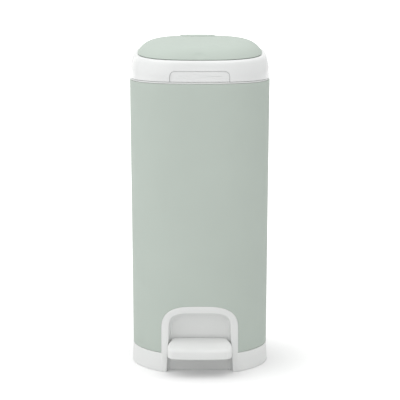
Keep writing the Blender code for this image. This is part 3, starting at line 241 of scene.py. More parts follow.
SAGE = moulded("satin_sage_plastic", (0.515, 0.575, 0.525), 0.68, 0.00005, 0.00012, 0.15)
WHITE = moulded("satin_white_plastic", (0.80, 0.81, 0.80), 0.50, 0.00004, 0.00010, 0.25)
GLOSS = moulded("polished_white_plastic", (0.78, 0.79, 0.785), 0.14, 0.00001, 0.00008)
GREY = moulded("grey_works_plastic", (0.42, 0.44, 0.43), 0.48, 0.00006, 0.00012)
STEEL = drawn_steel("bright_steel", (0.60, 0.60, 0.60), 0.28)
RUBBER = rubbery("black_rubber", (0.035, 0.035, 0.035))


# Shaping
def reach(across, along, half_width, half_depth, squareness):
    """How far a squarish oval plan reaches in one direction from its middle."""
    total = abs(across / half_width) ** squareness + abs(along / half_depth) ** squareness
    return total ** (-1 / squareness)


def front_of(x, half_width, half_depth, squareness):
    """Depth of the front of a squarish oval plan, at one place across it."""
    return -half_depth * (1 - abs(x / half_width) ** squareness) ** (1 / squareness)


def quarter(steps):
    """Angles from nothing to a right angle."""
    return [math.pi / 2 * step / steps for step in range(steps + 1)]


def softened(corners, radius, closed, steps=3):
    """Round every corner of a profile of pairs that is wide enough to take the radius."""
    points = [Vector(corner) for corner in corners]
    rounded = []
    for index, point in enumerate(points):
        if not closed and index in (0, len(points) - 1):
            rounded.append(point)
            continue
        before = points[index - 1] - point
        after = points[(index + 1) % len(points)] - point
        size = min(radius, before.length * 0.45, after.length * 0.45)
        start, end = point + before.normalized() * size, point + after.normalized() * size
        for step in range(steps + 1):
            share = step / steps
            curve = start * (1 - share) ** 2 + point * 2 * share * (1 - share) + end * share ** 2
            rounded.append(curve)
    return rounded


def subdivided(points, longest, closed=False):
    """Add points to a profile so that no step along it is longer than this."""
    pairs = list(zip(points, points[1:] + points[:1] if closed else points[1:]))
    fine = []
    for start, end in pairs:
        count = max(1, math.ceil((end - start).length / longest))
        fine += [start.lerp(end, index / count) for index in range(count)]
    return fine if closed else fine + [points[-1]]


def sleeve(rows, place, steps=AROUND, closed=False):
    """Extrude a circle's rim once for each row, then lay each vertex where its row puts it."""
    bm = bmesh.new()
    bmesh.ops.create_circle(bm, segments=steps, radius=1.0)
    rim = list(bm.edges)
    first = list(rim)
    for _ in rows[1:]:
        grown = bmesh.ops.extrude_edge_only(bm, edges=rim)["geom"]
        raised = {item for item in grown if isinstance(item, bmesh.types.BMVert)}
        rim = [edge for edge in bm.edges if edge.verts[0] in raised and edge.verts[1] in raised]
        bmesh.ops.translate(bm, verts=list(raised), vec=(0, 0, 1))
    if closed:
        bmesh.ops.bridge_loops(bm, edges=first + rim)
    else:
        bmesh.ops.holes_fill(bm, edges=first + rim, sides=0)
    for vertex in bm.verts:
        turn = math.atan2(vertex.co.y, vertex.co.x) / math.tau % 1.0
        vertex.co = place(turn, rows[round(vertex.co.z)])
    return outward(bm)


def outward(bm):
    """Turn every face of a closed shape to its outside."""
    bmesh.ops.recalc_face_normals(bm, faces=bm.faces)
    if bm.calc_volume(signed=True) < 0:
        bmesh.ops.reverse_faces(bm, faces=bm.faces)
    return bm


def block(low, high):
    """A box between two corners."""
    bm = bmesh.new()
    bmesh.ops.create_cube(bm, size=1.0)
    bmesh.ops.scale(bm, vec=Vector(high) - Vector(low), verts=bm.verts)
    bmesh.ops.translate(bm, vec=(Vector(high) + Vector(low)) / 2, verts=bm.verts)
    return bm


def peg(radius, start, end, steps=32):
    """A round bar between two points."""
    bm = bmesh.new()
    line = Vector(end) - Vector(start)
    turn = Vector((0, 0, 1)).rotation_difference(line).to_matrix().to_4x4()
    where = Matrix.Translation((Vector(start) + Vector(end)) / 2) @ turn
    bmesh.ops.create_cone(bm, cap_ends=True, segments=steps, radius1=radius, radius2=radius,
                          depth=line.length, matrix=where)
    return bm


def solid_object(name, bm, where):
    """An object with a shape in its mesh, the object itself left at the origin."""
    mesh = bpy.data.meshes.new(name)
    bmesh.ops.transform(bm, matrix=where, verts=bm.verts)
    bm.to_mesh(mesh)
    bm.free()
    made = bpy.data.objects.new(name, mesh)
    bpy.context.scene.collection.objects.link(made)
    return made


def carved(piece, bm, where, operation="DIFFERENCE"):
    """Cut a shape out of a piece, or weld it on, and keep only the result."""
    return combined(piece, solid_object(piece.name + "_cutter", bm, where), operation)


def combined(piece, other, operation="UNION"):
    """Weld two objects into the first, or cut the second out of it."""
    change = piece.modifiers.new("shape", "BOOLEAN")
    change.object = other
    change.operation = operation
    change.solver = "EXACT"
    settle(piece)
    bpy.data.objects.remove(other, do_unlink=True)
    return piece


def settle(piece):
    """Make a piece's modifiers part of its mesh."""
    bpy.context.view_layer.update()
    changed = piece.evaluated_get(bpy.context.evaluated_depsgraph_get())
    result = bpy.data.meshes.new_from_object(changed)
    piece.modifiers.clear()
    piece.data = result
    result.name = piece.name


def dress(piece, finish, body, slot, *nodes, sharp=32):
    """Weld, smooth and colour a finished piece, and set it on its body in place of its nodes."""
    close = 0.000004
    bm = bmesh.new()
    bm.from_mesh(piece.data)
    bmesh.ops.remove_doubles(bm, verts=bm.verts, dist=close)
    bmesh.ops.dissolve_degenerate(bm, edges=bm.edges, dist=close)
    outward(bm)
    bm.to_mesh(piece.data)
    bm.free()
    piece.data.shade_smooth()
    piece.data.set_sharp_from_angle(angle=math.radians(sharp))
    piece.data.materials.clear()
    piece.data.materials.append(finish)
    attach(piece, body)
    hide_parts(*nodes)
    return piece


# Body and plinth plan
def body_plan(height, grow):
    """Half width, half depth and squareness of the body's plan at one height."""
    share = (height - BODY_FOOT) / (BODY_TOP - BODY_FOOT)
    half_width = (FOOT_WIDTH + (TOP_WIDTH - FOOT_WIDTH) * share) / 2
    half_depth = half_width + (TOP_DEPTH - TOP_WIDTH) / 2
    squareness = FOOT_SQUARENESS + (TOP_SQUARENESS - FOOT_SQUARENESS) * share
    return half_width + grow, half_depth + grow, squareness


def on_body(turn, row):
    """A row lies at an inset from the body's wall, at a height."""
    inset, height = row
    across, along = math.cos(turn * math.tau), math.sin(turn * math.tau)
    out = reach(across, along, *body_plan(height, -inset))
    return Vector((across * out, along * out, height))


def arch_outline(half_width, foot_half_width, crown, foot, squareness=ARCH_SQUARENESS):
    """Points round an arch in X and Z: up the right leg, over the crown, down the left, along the foot."""
    legs, curve, sill = 12, 60, 12
    power = 2 / squareness
    points = []
    for index in range(legs):
        share = index / legs
        points.append(Vector((foot_half_width + (half_width - foot_half_width) * share,
                              foot + (ARCH_SPRING - foot) * share)))
    for index in range(curve + 1):
        angle = math.pi * index / curve
        across = half_width * math.copysign(abs(math.cos(angle)) ** power, math.cos(angle))
        rise = (crown - ARCH_SPRING) * abs(math.sin(angle)) ** power
        points.append(Vector((across, ARCH_SPRING + rise)))
    points += [Vector((-point.x, point.y)) for point in reversed(points[:legs])]
    for index in range(1, sill):
        points.append(Vector((-foot_half_width + foot_half_width * 2 * index / sill, foot)))
    return points


def arch_solid(rows):
    """A solid skinned over rows of points, each an arch outline set at its own depths."""
    steps = len(rows[0])

    def place(turn, row):
        return row[round(turn * steps) % steps]

    return sleeve(rows, place, steps)


def laid(outline, depth):
    """An outline set at one depth."""
    return [Vector((point.x, depth, point.y)) for point in outline]


def draped(outline, depth):
    """An outline laid on the front of the surround, or so far behind it."""
    return [Vector((point.x, front_of(point.x, *body_plan(point.y, ARCH_PROUD)) + depth, point.y))
            for point in outline]


def niche_outline(grow, crown, foot):
    """The inner arch of the niche, so much wider, with its own crown and foot."""
    return arch_outline(NICHE_HALF_WIDTH + grow, NICHE_FOOT_HALF_WIDTH + grow, crown, foot,
                        NICHE_SQUARENESS)


def vault_rows(grow, foot, steps=16):
    """Outlines of the niche from its band back to its rear wall, the crown sinking as they go."""
    mouth = draped(niche_outline(grow, NICHE_CROWN + grow, foot), BAND_DEPTH)
    back = NICHE_BACK + grow
    rows = []
    for angle in quarter(steps):
        sunk = 1 - math.cos(angle)
        vault = niche_outline(grow - VAULT_NARROWING * sunk, NICHE_CROWN + grow - VAULT_DROP * sunk, foot)
        rows.append([Vector((point.x, start.y + (back - start.y) * math.sin(angle), point.y))
                     for point, start in zip(vault, mouth)])
    return rows


def niche_space():
    """What the niche cuts out of the plinth: a rounded mouth, the vault and a rounded rear edge."""
    lip = ARCH_HALF_WIDTH - ARCH_LIP
    outer = arch_outline(lip, lip, ARCH_CROWN - ARCH_LIP, -OVERRUN)
    inner = niche_outline(0.0, NICHE_CROWN, -OVERRUN)

    def between(share):
        return [a.lerp(b, share) for a, b in zip(outer, inner)]

    rows = [laid(outer, -TOP_DEPTH), draped(outer, -0.00004), draped(between(0.05), 0.00003),
            draped(between(0.2), 0.0002), draped(between(0.5), 0.0006)]
    turned, lip_depth, lip_roll = 0.76, 0.0012, 0.0034
    for angle in quarter(6):
        arch = between(turned + (1 - turned) * math.sin(angle))
        rows.append(draped(arch, lip_depth + lip_roll * (1 - math.cos(angle))))
    rows += vault_rows(0.0, -OVERRUN)[2:]
    for shrink in (0.0015, 0.0035):
        back = niche_outline(-VAULT_NARROWING - shrink, NICHE_CROWN - VAULT_DROP - shrink, -OVERRUN)
        rows.append(laid(back, NICHE_BACK))
    return arch_solid(rows)


def surround_block():
    """The thin skin round the niche, laid on the body's front; its foot is still to be cut level."""
    def outline(inset):
        half = ARCH_HALF_WIDTH - inset
        return arch_outline(half, half, ARCH_CROWN - inset, inset - OVERRUN * 2)

    insets = (0.003, 0.006, 0.010, 0.014, 0.020, 0.028, 0.035)
    edge = ((0.0, 0.0009), (0.0001, 0.0005), (0.0003, 0.0002), (0.0006, 0.0))
    last, back_end, front_end = insets[-1] + 0.001, -0.1060, -0.1125
    behind = SURROUND_THICKNESS + ARCH_PROUD
    rows = [laid(outline(last), back_end)]
    rows += [draped(outline(inset), behind) for inset in reversed((0.0,) + insets)]
    rows += [draped(outline(inset), depth) for inset, depth in edge]
    rows += [draped(outline(inset), 0.0) for inset in insets]
    rows.append(laid(outline(last), front_end))
    return arch_solid(rows)


def make_tunnel():
    """The walls of the niche, from inside the surround's skin back to its rear wall."""
    vault = vault_rows(NICHE_WALL, FOOT_RISE)
    mouth = [Vector((point.x, -TOP_DEPTH, point.z)) for point in vault[0]]
    piece = solid_object("tunnel", arch_solid([mouth] + vault), BIN)
    levels = [-OVERRUN + (ARCH_CROWN + OVERRUN * 2) * index / 12 for index in range(13)]
    return carved(piece, sleeve([(GAP, level) for level in levels], on_body), BIN, "INTERSECT")


def make_body():
    """The tapered shell: a wall of one thickness, cut out over the plinth's arch."""
    foot, edge, step = BODY_FOOT + GAP * 2, 0.0013, 0.02
    corners = [(0.0, foot), (0.0, BODY_TOP), (WALL, BODY_TOP), (WALL, foot)]
    rows = subdivided(softened(corners, edge, True), step, True)
    piece = solid_object("sage_body", sleeve(rows, on_body, closed=True), BIN)
    half = ARCH_HALF_WIDTH + GAP
    opening = arch_outline(half, half, ARCH_CROWN + GAP, 0.0)
    carved(piece, arch_solid([laid(opening, -TOP_DEPTH), laid(opening, 0.0)]), BIN)
    return dress(piece, SAGE, "bin", "sage", "body_shell")


def make_plinth():
    """The skirt and deck, with the arch, niche and pedal tunnel joined to them."""
    skirt, edge, step = 0.003, 0.0008, 0.012
    spigot = WALL + SNAP_GAP
    shoulder = BODY_FOOT - skirt
    middle = 0.105
    corners = [(middle, DECK_TOP), (spigot, DECK_TOP), (spigot, BODY_FOOT), (-GAP, BODY_FOOT),
               (-PLINTH_PROUD, FOOT_RISE), (skirt - PLINTH_PROUD, FOOT_RISE),
               (skirt - PLINTH_PROUD, shoulder), (spigot + skirt, shoulder),
               (spigot + skirt, DECK_TOP - WALL), (middle, DECK_TOP - WALL)]
    rows = subdivided(softened(corners, edge, False), step)
    piece = solid_object("white_plinth", sleeve(rows, on_body), BIN)
    surround = solid_object("surround", surround_block(), BIN)
    carved(surround, block((-TOP_WIDTH, -TOP_WIDTH, -OVERRUN * 3), (TOP_WIDTH, 0, FOOT_RISE)), BIN)
    combined(piece, surround)
    combined(piece, make_tunnel())
    carved(piece, niche_space(), BIN)
    for x in (-ARM_PLACE, ARM_PLACE):
        carved(piece, block((x - ARM_SLOT_HALF, NICHE_BACK - NICHE_WALL, ARM_SLOT_FOOT),
                            (x + ARM_SLOT_HALF, NICHE_BACK + OVERRUN, ARM_SLOT_TOP)), BIN)
    add_plinth_works(piece)
    return dress(piece, WHITE, "bin", "white", "base_plinth")


def add_plinth_works(piece):
    """Posts over the rubber feet, the two bearings of the pedal's axle, its bore and the rod's."""
    top = DECK_TOP - WALL / 2
    post, post_foot = 0.010, 0.0033
    feet = ((-0.085, -0.056), (0.085, -0.056), (-0.075, 0.068), (0.075, 0.068))
    for x, y in feet:
        carved(piece, peg(post, (x, y, post_foot), (x, y, top)), BIN, "UNION")
    bearing, thickness, bearing_starts = 0.007, 0.006, (-0.054, 0.048)
    for low in bearing_starts:
        carved(piece, block((low, AXLE[0] - bearing, AXLE[1] - bearing),
                            (low + thickness, AXLE[0] + bearing, top)), BIN, "UNION")
    axle_bore, axle_end, rod_bore = 0.0033, 0.107, 0.0036
    carved(piece, peg(axle_bore, (-axle_end, *AXLE), (axle_end, *AXLE)), BIN)
    carved(piece, peg(rod_bore, (0, ROD_Y, DECK_TOP - OVERRUN / 2), (0, ROD_Y, DECK_TOP + OVERRUN)), BIN)


# Rim ring, collar and release panel
def hermite(table, share):
    """Read a table of pairs at a share, along a smooth curve through them."""
    for index in range(len(table) - 1):
        low, high = table[index], table[index + 1]
        if share <= high[0] or index == len(table) - 2:
            break
    before = table[index - 1] if index else low
    after = table[index + 2] if index + 2 < len(table) else high
    width = high[0] - low[0]
    slope_low = (high[1] - before[1]) / (high[0] - before[0]) * width
    slope_high = (after[1] - low[1]) / (after[0] - low[0]) * width
    t = (share - low[0]) / width
    return ((2 * t ** 3 - 3 * t ** 2 + 1) * low[1] + (t ** 3 - 2 * t ** 2 + t) * slope_low
            + (3 * t ** 2 - 2 * t ** 3) * high[1] + (t ** 3 - t ** 2) * slope_high)


def seam_level(y):
    """Height of the seam between collar and lid, which slopes down to the front."""
    return SEAM_HEIGHT + y * math.tan(SEAM_SLOPE)


def shoulder_plan(inset_share, extra):
    """Half width, half depth and squareness of the collar's plan, between the body's and the lid's."""
    half_width = TOP_WIDTH / 2 - (TOP_WIDTH - LID_WIDTH) / 2 * inset_share - extra
    half_depth = TOP_DEPTH / 2 - (TOP_DEPTH - LID_DEPTH) / 2 * inset_share - extra
    return half_width, half_depth, TOP_SQUARENESS + (LID_SQUARENESS - TOP_SQUARENESS) * inset_share


def on_shoulder(turn, row):
    """A row lies at a share of the way up the collar's shoulder, and at one inwards."""
    height_share, inset_share, extra = row
    across, along = math.cos(turn * math.tau), math.sin(turn * math.tau)
    out = reach(across, along, *shoulder_plan(inset_share, extra))
    top = seam_level(along * out)
    return Vector((across * out, along * out, COLLAR_FOOT + (top - COLLAR_FOOT) * height_share))


def on_lid_plan(turn, inset, level, share=1.0):
    """The lid's plan at an inset, shrunk to a share, at a level."""
    half_width, half_depth = (LID_WIDTH / 2 - inset) * share, (LID_DEPTH / 2 - inset) * share
    across, along = math.cos(turn * math.tau), math.sin(turn * math.tau)
    out = reach(across, along, half_width, half_depth, LID_SQUARENESS)
    return Vector((across * out, along * out, level))


def on_collar(turn, row):
    """A row of three lies on the collar's wall, and a row of two hangs from its seam with the lid."""
    if len(row) == 3:
        return on_shoulder(turn, row)
    inset, drop = row
    point = on_lid_plan(turn, inset, 0.0)
    point.z = seam_level(point.y) + drop
    return point


def collar_front(x, z, extra):
    """Depth of the collar's front face at a point of its elevation."""
    y = -TOP_DEPTH / 2
    for _ in range(4):
        share = (z - COLLAR_FOOT) / (seam_level(y) - COLLAR_FOOT)
        inset_share = hermite(SHOULDER, max(0.0, min(share, 1.0)))
        y = front_of(x, *shoulder_plan(inset_share, extra))
    return y


def panel_edge(margin, foot):
    """Points round the release panel in X and Z, with two rounded upper corners."""
    half, top = PANEL_HALF_WIDTH + margin, COLLAR_FOOT + PANEL_HEIGHT + margin
    lower_corner, steps = 0.0006, 12
    corners = [Vector((half, foot)), Vector((half, top)), Vector((-half, top)), Vector((-half, foot))]
    points = []
    for index, point in enumerate(corners):
        before, after = corners[index - 1], corners[(index + 1) % 4]
        size = PANEL_CORNER if index in (1, 2) else lower_corner
        start = point.lerp(before, size / (before - point).length)
        end = point.lerp(after, size / (after - point).length)
        centre = start + end - point
        points += [centre + (start - centre) * math.cos(angle) + (end - centre) * math.sin(angle)
                   for angle in quarter(steps)]
    return even_outline(points, SMALL_AROUND)


def even_outline(points, count):
    """The same closed outline with its points spaced evenly along it."""
    loop = points + points[:1]
    marks = [0.0]
    for start, end in zip(loop, loop[1:]):
        marks.append(marks[-1] + (end - start).length)
    result = []
    index = 0
    for step in range(count):
        mark = marks[-1] * step / count
        while marks[index + 1] < mark:
            index += 1
        share = (mark - marks[index]) / max(marks[index + 1] - marks[index], 1e-12)
        result.append(loop[index].lerp(loop[index + 1], share))
    return result


def make_ring():
    """The white rim that stands in the body's top, with the head's hinge behind."""
    outside = WALL + SNAP_GAP
    inside = outside + 0.002
    face, ledge, skirt_foot, edge = 0.0006, 0.0080, RING_FOOT - 0.012, 0.0009
    corners = [(face, RING_FOOT + 0.0002), (face, RING_TOP - 0.0001), (ledge, RING_TOP), (ledge, RING_FOOT),
               (inside, RING_FOOT), (inside, skirt_foot), (outside, skirt_foot), (outside, RING_FOOT)]
    rows = softened(corners, edge, True)
    piece = solid_object("white_rim_ring", sleeve(rows, on_body, closed=True), BIN)
    hinge_barrels(piece, "ring")
    return dress(piece, WHITE, "bin", "white", "rim_ring")


def hinge_barrels(piece, owner):
    """Barrels of the head hinge at the back, each on a web, and the bore for the pin."""
    axis_y, axis_z, radius = 0.1232, 0.5294, 0.0036
    if owner == "ring":
        spans = ((-0.0150, 0.0150), (0.0353, 0.0480), (-0.0480, -0.0353))
        wall_y, low, high = TOP_DEPTH / 2 - 0.004, RING_FOOT, RING_TOP
    else:
        spans = ((0.0153, 0.0350), (-0.0350, -0.0153))
        wall_y, low, high = TOP_DEPTH / 2 - 0.00225, COLLAR_FOOT, axis_z + radius * 2
    for start, end in spans:
        carved(piece, block((start, wall_y, low), (end, axis_y, high)), BIN, "UNION")
        carved(piece, peg(radius, (start, axis_y, axis_z), (end, axis_y, axis_z), 48), BIN, "UNION")
    bore_end = 0.068
    carved(piece, peg(PIN_BORE, (-bore_end, axis_y, axis_z), (bore_end, axis_y, axis_z)), BIN)


def make_collar():
    """The glossy head: a shoulder up to a thin lip, with the lid's ledge inside it."""
    count, crowding = 26, 1.6
    levels = [1 - (1 - index / count) ** crowding for index in range(count + 1)]
    lip, ledge = LIP_INSET, LIP_INSET + LEDGE_WIDTH
    rows = [(0.0, 0.0, 0.0013), (0.004, 0.0, 0.0006), (0.012, 0.0, 0.0002), (0.026, 0.0, 0.0)]
    rows += [(level, hermite(SHOULDER, level), 0.0) for level in levels[1:]]
    rows += [(lip - 0.0030, 0.0001), (lip - 0.0018, -0.0002), (lip - 0.0008, -0.0007), (lip, -0.0016),
             (lip, -LEDGE_DROP), (ledge, -LEDGE_DROP), (ledge, -LEDGE_DROP - WALL)]
    inner = [level for level in levels if level <= SHOULDER_INNER_TOP]
    rows += [(level, hermite(SHOULDER, level), WALL) for level in reversed(inner)]
    piece = solid_object("white_collar", sleeve(rows, on_collar, closed=True), BIN)
    carved(piece, panel_window(), BIN)
    add_lid_hinge(piece)
    hinge_barrels(piece, "collar")
    return dress(piece, GLOSS, "head", "gloss_white", "head_collar")


def panel_window():
    """What cuts the release panel's window out of the collar, with a rounded edge."""
    edge, play = 0.0005, 0.0001
    rows = [(edge, -TOP_DEPTH, 0.0), (edge, -0.001, 1.0)]
    rows += [(edge * (1 - math.sin(angle)), edge * (1 - math.cos(angle)), 1.0) for angle in quarter(6)]
    rows.append((0.0, -TOP_DEPTH / 4, 0.0))
    outlines = {row[0]: panel_edge(play + row[0], COLLAR_FOOT - OVERRUN) for row in rows}

    def place(turn, row):
        grow, depth, follow = row
        point = outlines[grow][round(turn * SMALL_AROUND) % SMALL_AROUND]
        return Vector((point.x, depth + collar_front(point.x, point.y, 0.0) * follow, point.y))

    return sleeve(rows, place, SMALL_AROUND)


def add_lid_hinge(piece):
    """Room for the lid's hinge at the back of the collar, its two barrels and bore, and the crank's slot."""
    y, z, barrel, half = LID_HINGE_Y, LID_HINGE_Z, LID_BARREL, LID_HINGE_HALF
    floor = z - barrel - LID_BARREL_ROOM
    carved(piece, block((-half, y - barrel - LID_BARREL_ROOM, floor), (half, LID_DEPTH, OVERRUN)), LID)
    for low, high in ((-0.043, -0.0303), (0.0303, 0.043)):
        carved(piece, block((low, y - barrel, floor - WALL / 2), (high, y + barrel, z)), LID, "UNION")
        carved(piece, peg(barrel, (low, y, z), (high, y, z), 48), LID, "UNION")
    bore_end = 0.063
    carved(piece, peg(PIN_BORE, (-bore_end, y, z), (bore_end, y, z)), LID)
    slot_half, slot_front = 0.007, 0.0765
    carved(piece, block((-slot_half, slot_front, -LEDGE_DROP * 2),
                        (slot_half, LID_DEPTH / 2 - LIP_INSET / 2, OVERRUN)), LID)


def make_panel():
    """The release panel: the shoulder's own shape inside its window, with its catch behind."""
    play, ring, rings = 0.00005, 0.0012, 8
    outline = panel_edge(-play, COLLAR_FOOT + 0.0002)
    middle = Vector((0.0, COLLAR_FOOT + 0.0097))
    rows = [(0.0, WALL), (0.0, 0.0009), (0.0001, 0.0005), (0.0004, 0.0001), (0.0008, 0.0)]
    rows += [(ring * step, 0.0) for step in range(1, rings)]

    def place(turn, row):
        margin, depth = row
        point = outline[round(turn * SMALL_AROUND) % SMALL_AROUND]
        away = point - middle
        point = point - Vector((math.copysign(min(margin, abs(away.x)), away.x),
                                math.copysign(min(margin, abs(away.y)), away.y)))
        share = (point.y - COLLAR_FOOT) / PANEL_HEIGHT
        depth += hermite(PANEL_PAD, max(0.0, min(share, 1.0)))
        return Vector((point.x, collar_front(point.x, point.y, PANEL_INSET) + depth, point.y))

    skin = sleeve(rows, place, SMALL_AROUND)
    back_face = max(skin.faces, key=lambda face: face.calc_area())
    bmesh.ops.poke(skin, faces=[back_face])
    piece = solid_object("white_release_panel", skin, BIN)
    add_catch(piece)
    return dress(piece, GLOSS, "panel", "gloss_white", "release_panel", sharp=50)


def add_catch(piece):
    """The panel's catch: an arm to the back, a leg down inside the rim ring and a hook under it."""
    half, back, lip = HOOK_HALF_WIDTH, -TOP_DEPTH / 2 + PANEL_INSET + WALL, -TOP_DEPTH / 2 + 0.008
    leg_front, leg_back = lip + 0.0032, lip + 0.0067
    hook_front, hook_back = lip - 0.0024, lip + 0.005
    hook_foot, hook_top = RING_FOOT - 0.0042, RING_FOOT - 0.0006
    arm_foot, arm_top, leg_top = COLLAR_FOOT + 0.0035, COLLAR_FOOT + 0.007, COLLAR_FOOT + 0.005
    arm = (-half, back - WALL / 2, arm_foot), (half, leg_back, arm_top)
    leg = (-half, leg_front, hook_foot), (half, leg_back, leg_top)
    hook = (-half, hook_front, hook_foot), (half, hook_back, hook_top)
    for low, high in (arm, leg, hook):
        carved(piece, block(low, high), BIN, "UNION")


# Lid and child lock
def oval(turn, half_length, half_width, squareness, level):
    """A point on a squarish oval round the place of the child lock, as the turn goes from 0 to 1."""
    across, along = math.cos(turn * math.tau), math.sin(turn * math.tau)
    return Vector((half_length * math.copysign(abs(across) ** (2 / squareness), across),
                   LOCK_PLACE + half_width * math.copysign(abs(along) ** (2 / squareness), along), level))


def dome(share):
    """Height of the lid's dome over its seam, from its middle at 0 to its edge at 1."""
    return SEAM_GAP + DOME_HEIGHT * (1 - share ** DOME_FULLNESS)


def lock_floor():
    """Height of the floor of the child lock's recess."""
    return dome(LOCK_PLACE / (LID_DEPTH / 2)) - LOCK_RECESS


def on_lid(turn, row):
    """A row holds an inset, a level and a share of the lid's plan."""
    return on_lid_plan(turn, *row)


def make_lid():
    """The domed lid, thin at its edge, cut out behind for its hinge."""
    shares = [0.04, 0.15, 0.3, 0.42, 0.52, 0.6, 0.67, 0.73, 0.78, 0.82, 0.855, 0.885, 0.91, 0.93, 0.947,
              0.961, 0.972, 0.981, 0.988, 0.9925]
    rows = [(0.0, dome(share), share) for share in shares]
    rows += [(0.0, 0.00135, 0.9962), (0.0001, 0.00115, 0.9950), (0.0020, 0.00110, 1.0),
             (0.0020, SEAM_GAP, 1.0), (WALL, SEAM_GAP, 1.0)]
    rows += [(WALL, dome(share) - WALL, share) for share in reversed(shares[:-4])]
    piece = solid_object("sage_lid", sleeve(rows, on_lid), LID)
    hinge_front = LID_HINGE_Y - LID_BARREL - LID_BARREL_ROOM - WALL
    carved(piece, block((-LID_HINGE_HALF, hinge_front, -OVERRUN), (LID_HINGE_HALF, LID_DEPTH, DOME_HEIGHT)),
           LID)
    carve_lock_recess(piece)
    carve_scoop(piece)
    return dress(piece, SAGE, "lid", "sage", "lid_cover", sharp=24)


def carve_lock_recess(piece):
    """The shallow recess that the child lock slides in, and the slot for its tongue."""
    half_length, half_width, squareness = 0.0375, 0.015, 3.5
    slot_half_length, slot_half_width = 0.0096, 0.0033
    floor = lock_floor()

    def recess(turn, row):
        shrink, level = row
        return oval(turn, half_length - shrink, half_width - shrink, squareness, level)

    rows = [(0.0012, floor), (0.0005, floor + 0.0002), (0.0001, floor + 0.0007), (0.0, DOME_HEIGHT),
            (0.0, DOME_HEIGHT + OVERRUN)]
    carved(piece, sleeve(rows, recess, LOCK_AROUND), LID)
    carved(piece, block((-slot_half_length, LOCK_PLACE - slot_half_width, floor - WALL * 2),
                        (slot_half_length, LOCK_PLACE + slot_half_width, floor + WALL)), LID)


def carve_scoop(piece):
    """The shallow scoop for a finger at the lid's front edge: a large ball just dips into the dome."""
    share, radius, dip, segments = 0.95, 0.080, 0.001, 128
    slope = DOME_HEIGHT * DOME_FULLNESS * share ** (DOME_FULLNESS - 1) / (LID_DEPTH / 2)
    normal = Vector((0, -slope, 1)).normalized()
    point = Vector((0, -LID_DEPTH / 2 * share, dome(share)))
    scoop = bmesh.new()
    bmesh.ops.create_uvsphere(scoop, u_segments=segments, v_segments=segments, radius=radius,
                              matrix=Matrix.Translation(point + normal * (radius - dip)))
    carved(piece, scoop, LID)


def make_child_lock():
    """A flat slider with a raised edge and a sunk grip, at one end of its way."""
    squareness, half_length, half_width = 3.0, 0.032, 0.009
    grip_half_length, grip_half_width = 0.007, 0.0045
    tongue_half, tongue_reach, tongue_root, way = 0.003, 0.0045, 0.0008, 0.009
    floor = lock_floor()
    foot = floor + GAP
    rest = LID @ Matrix.Translation((-way / 2, 0, 0))
    edge = ((0.0, 0.0), (0.0, 0.0008), (0.0002, 0.0013), (0.0005, 0.0017), (0.0010, 0.0019), (0.0017, 0.0020))
    grip = ((0.0004, 0.0020), (0.0, 0.00185), (-0.0008, 0.0015), (-0.0018, 0.00125), (-0.0030, 0.0012))
    rows = [(half_length - inset, half_width - inset, foot + rise) for inset, rise in edge]
    rows += [(grip_half_length + outset, grip_half_width + outset, foot + rise) for outset, rise in grip]

    def place(turn, row):
        length, width, level = row
        return oval(turn, length, width, squareness, level)

    piece = solid_object("sage_child_lock", sleeve(rows, place, LOCK_AROUND), rest)
    carved(piece, block((-tongue_half, LOCK_PLACE - tongue_half, floor - tongue_reach),
                        (tongue_half, LOCK_PLACE + tongue_half, foot + tongue_root)), rest, "UNION")
    return dress(piece, SAGE, "lock", "sage", "child_lock")


# Pedal
def tread_outline(inset):
    """Points round the tread in X and Y: from its rear edge, out over a shoulder, to a bowed front."""
    corner, bow, length, shoulder, steps = 0.0120, 0.0028, 0.0540, 0.55, 8
    front = TREAD_FRONT + inset
    half_front, half_rear = 0.0581 - inset, 0.0505 - inset
    size = corner - inset * 0.6
    points = []
    for step in range(steps + 1):
        share = step / steps
        points.append(Vector((half_rear + (half_front - half_rear) * math.sin(math.pi / 2 * share),
                              TREAD_REAR - length * shoulder * share)))
    points += [Vector((half_front - size + size * math.cos(angle),
                       front + bow + size - size * math.sin(angle))) for angle in quarter(12)]
    for step in range(1, steps + 1):
        share = step / steps
        points.append(Vector(((half_front - size) * (1 - share), front + bow * (1 - share) ** 2)))
    points += [Vector((-point.x, point.y)) for point in reversed(points[:-1])]
    return even_outline(points, SMALL_AROUND)


def tread_top(y, drop):
    """The tread slopes down to its front."""
    share = (y - TREAD_REAR) / (TREAD_FRONT - TREAD_REAR)
    return TREAD_REAR_TOP + (TREAD_FRONT_TOP - TREAD_REAR_TOP) * share - drop


def make_pedal():
    """The tread, hollow below, with a rounded upper edge."""
    edge_width, edge_height, crown = 0.0058, 0.0062, 0.0004
    rows = [(0.003, 0.003), (0.003, 0.018), (0.0008, 0.018), (0.0001, 0.0176), (0.0, 0.0168)]
    rows += [(edge_width * (1 - math.cos(angle)), crown + edge_height * (1 - math.sin(angle)))
             for angle in quarter(8)]
    rows += [(0.010, 0.0002), (0.016, 0.0)]
    outlines = {inset: tread_outline(inset) for inset, _ in rows}

    def place(turn, row):
        inset, drop = row
        point = outlines[inset][round(turn * SMALL_AROUND) % SMALL_AROUND]
        return Vector((point.x, point.y, tread_top(point.y, drop)))

    piece = solid_object("white_pedal", sleeve(rows, place, SMALL_AROUND), BIN)
    return dress(piece, WHITE, "pedal", "white", "pedal")


make_body()
make_plinth()
make_ring()
make_collar()
make_panel()
make_lid()
make_child_lock()
make_pedal()

# Works that keep their own shape
FINISHES = {"white": WHITE, "sage": SAGE, "gloss_white": GLOSS, "grey": GREY,
            "steel": STEEL, "rubber": RUBBER}
for row in frame["record"]["subparts"]:
    node = frame["nodes"].get(row["node"])
    if node is not None:
        for holder in node.material_slots:
            holder.material = FINISHES[row["material_slot"]]


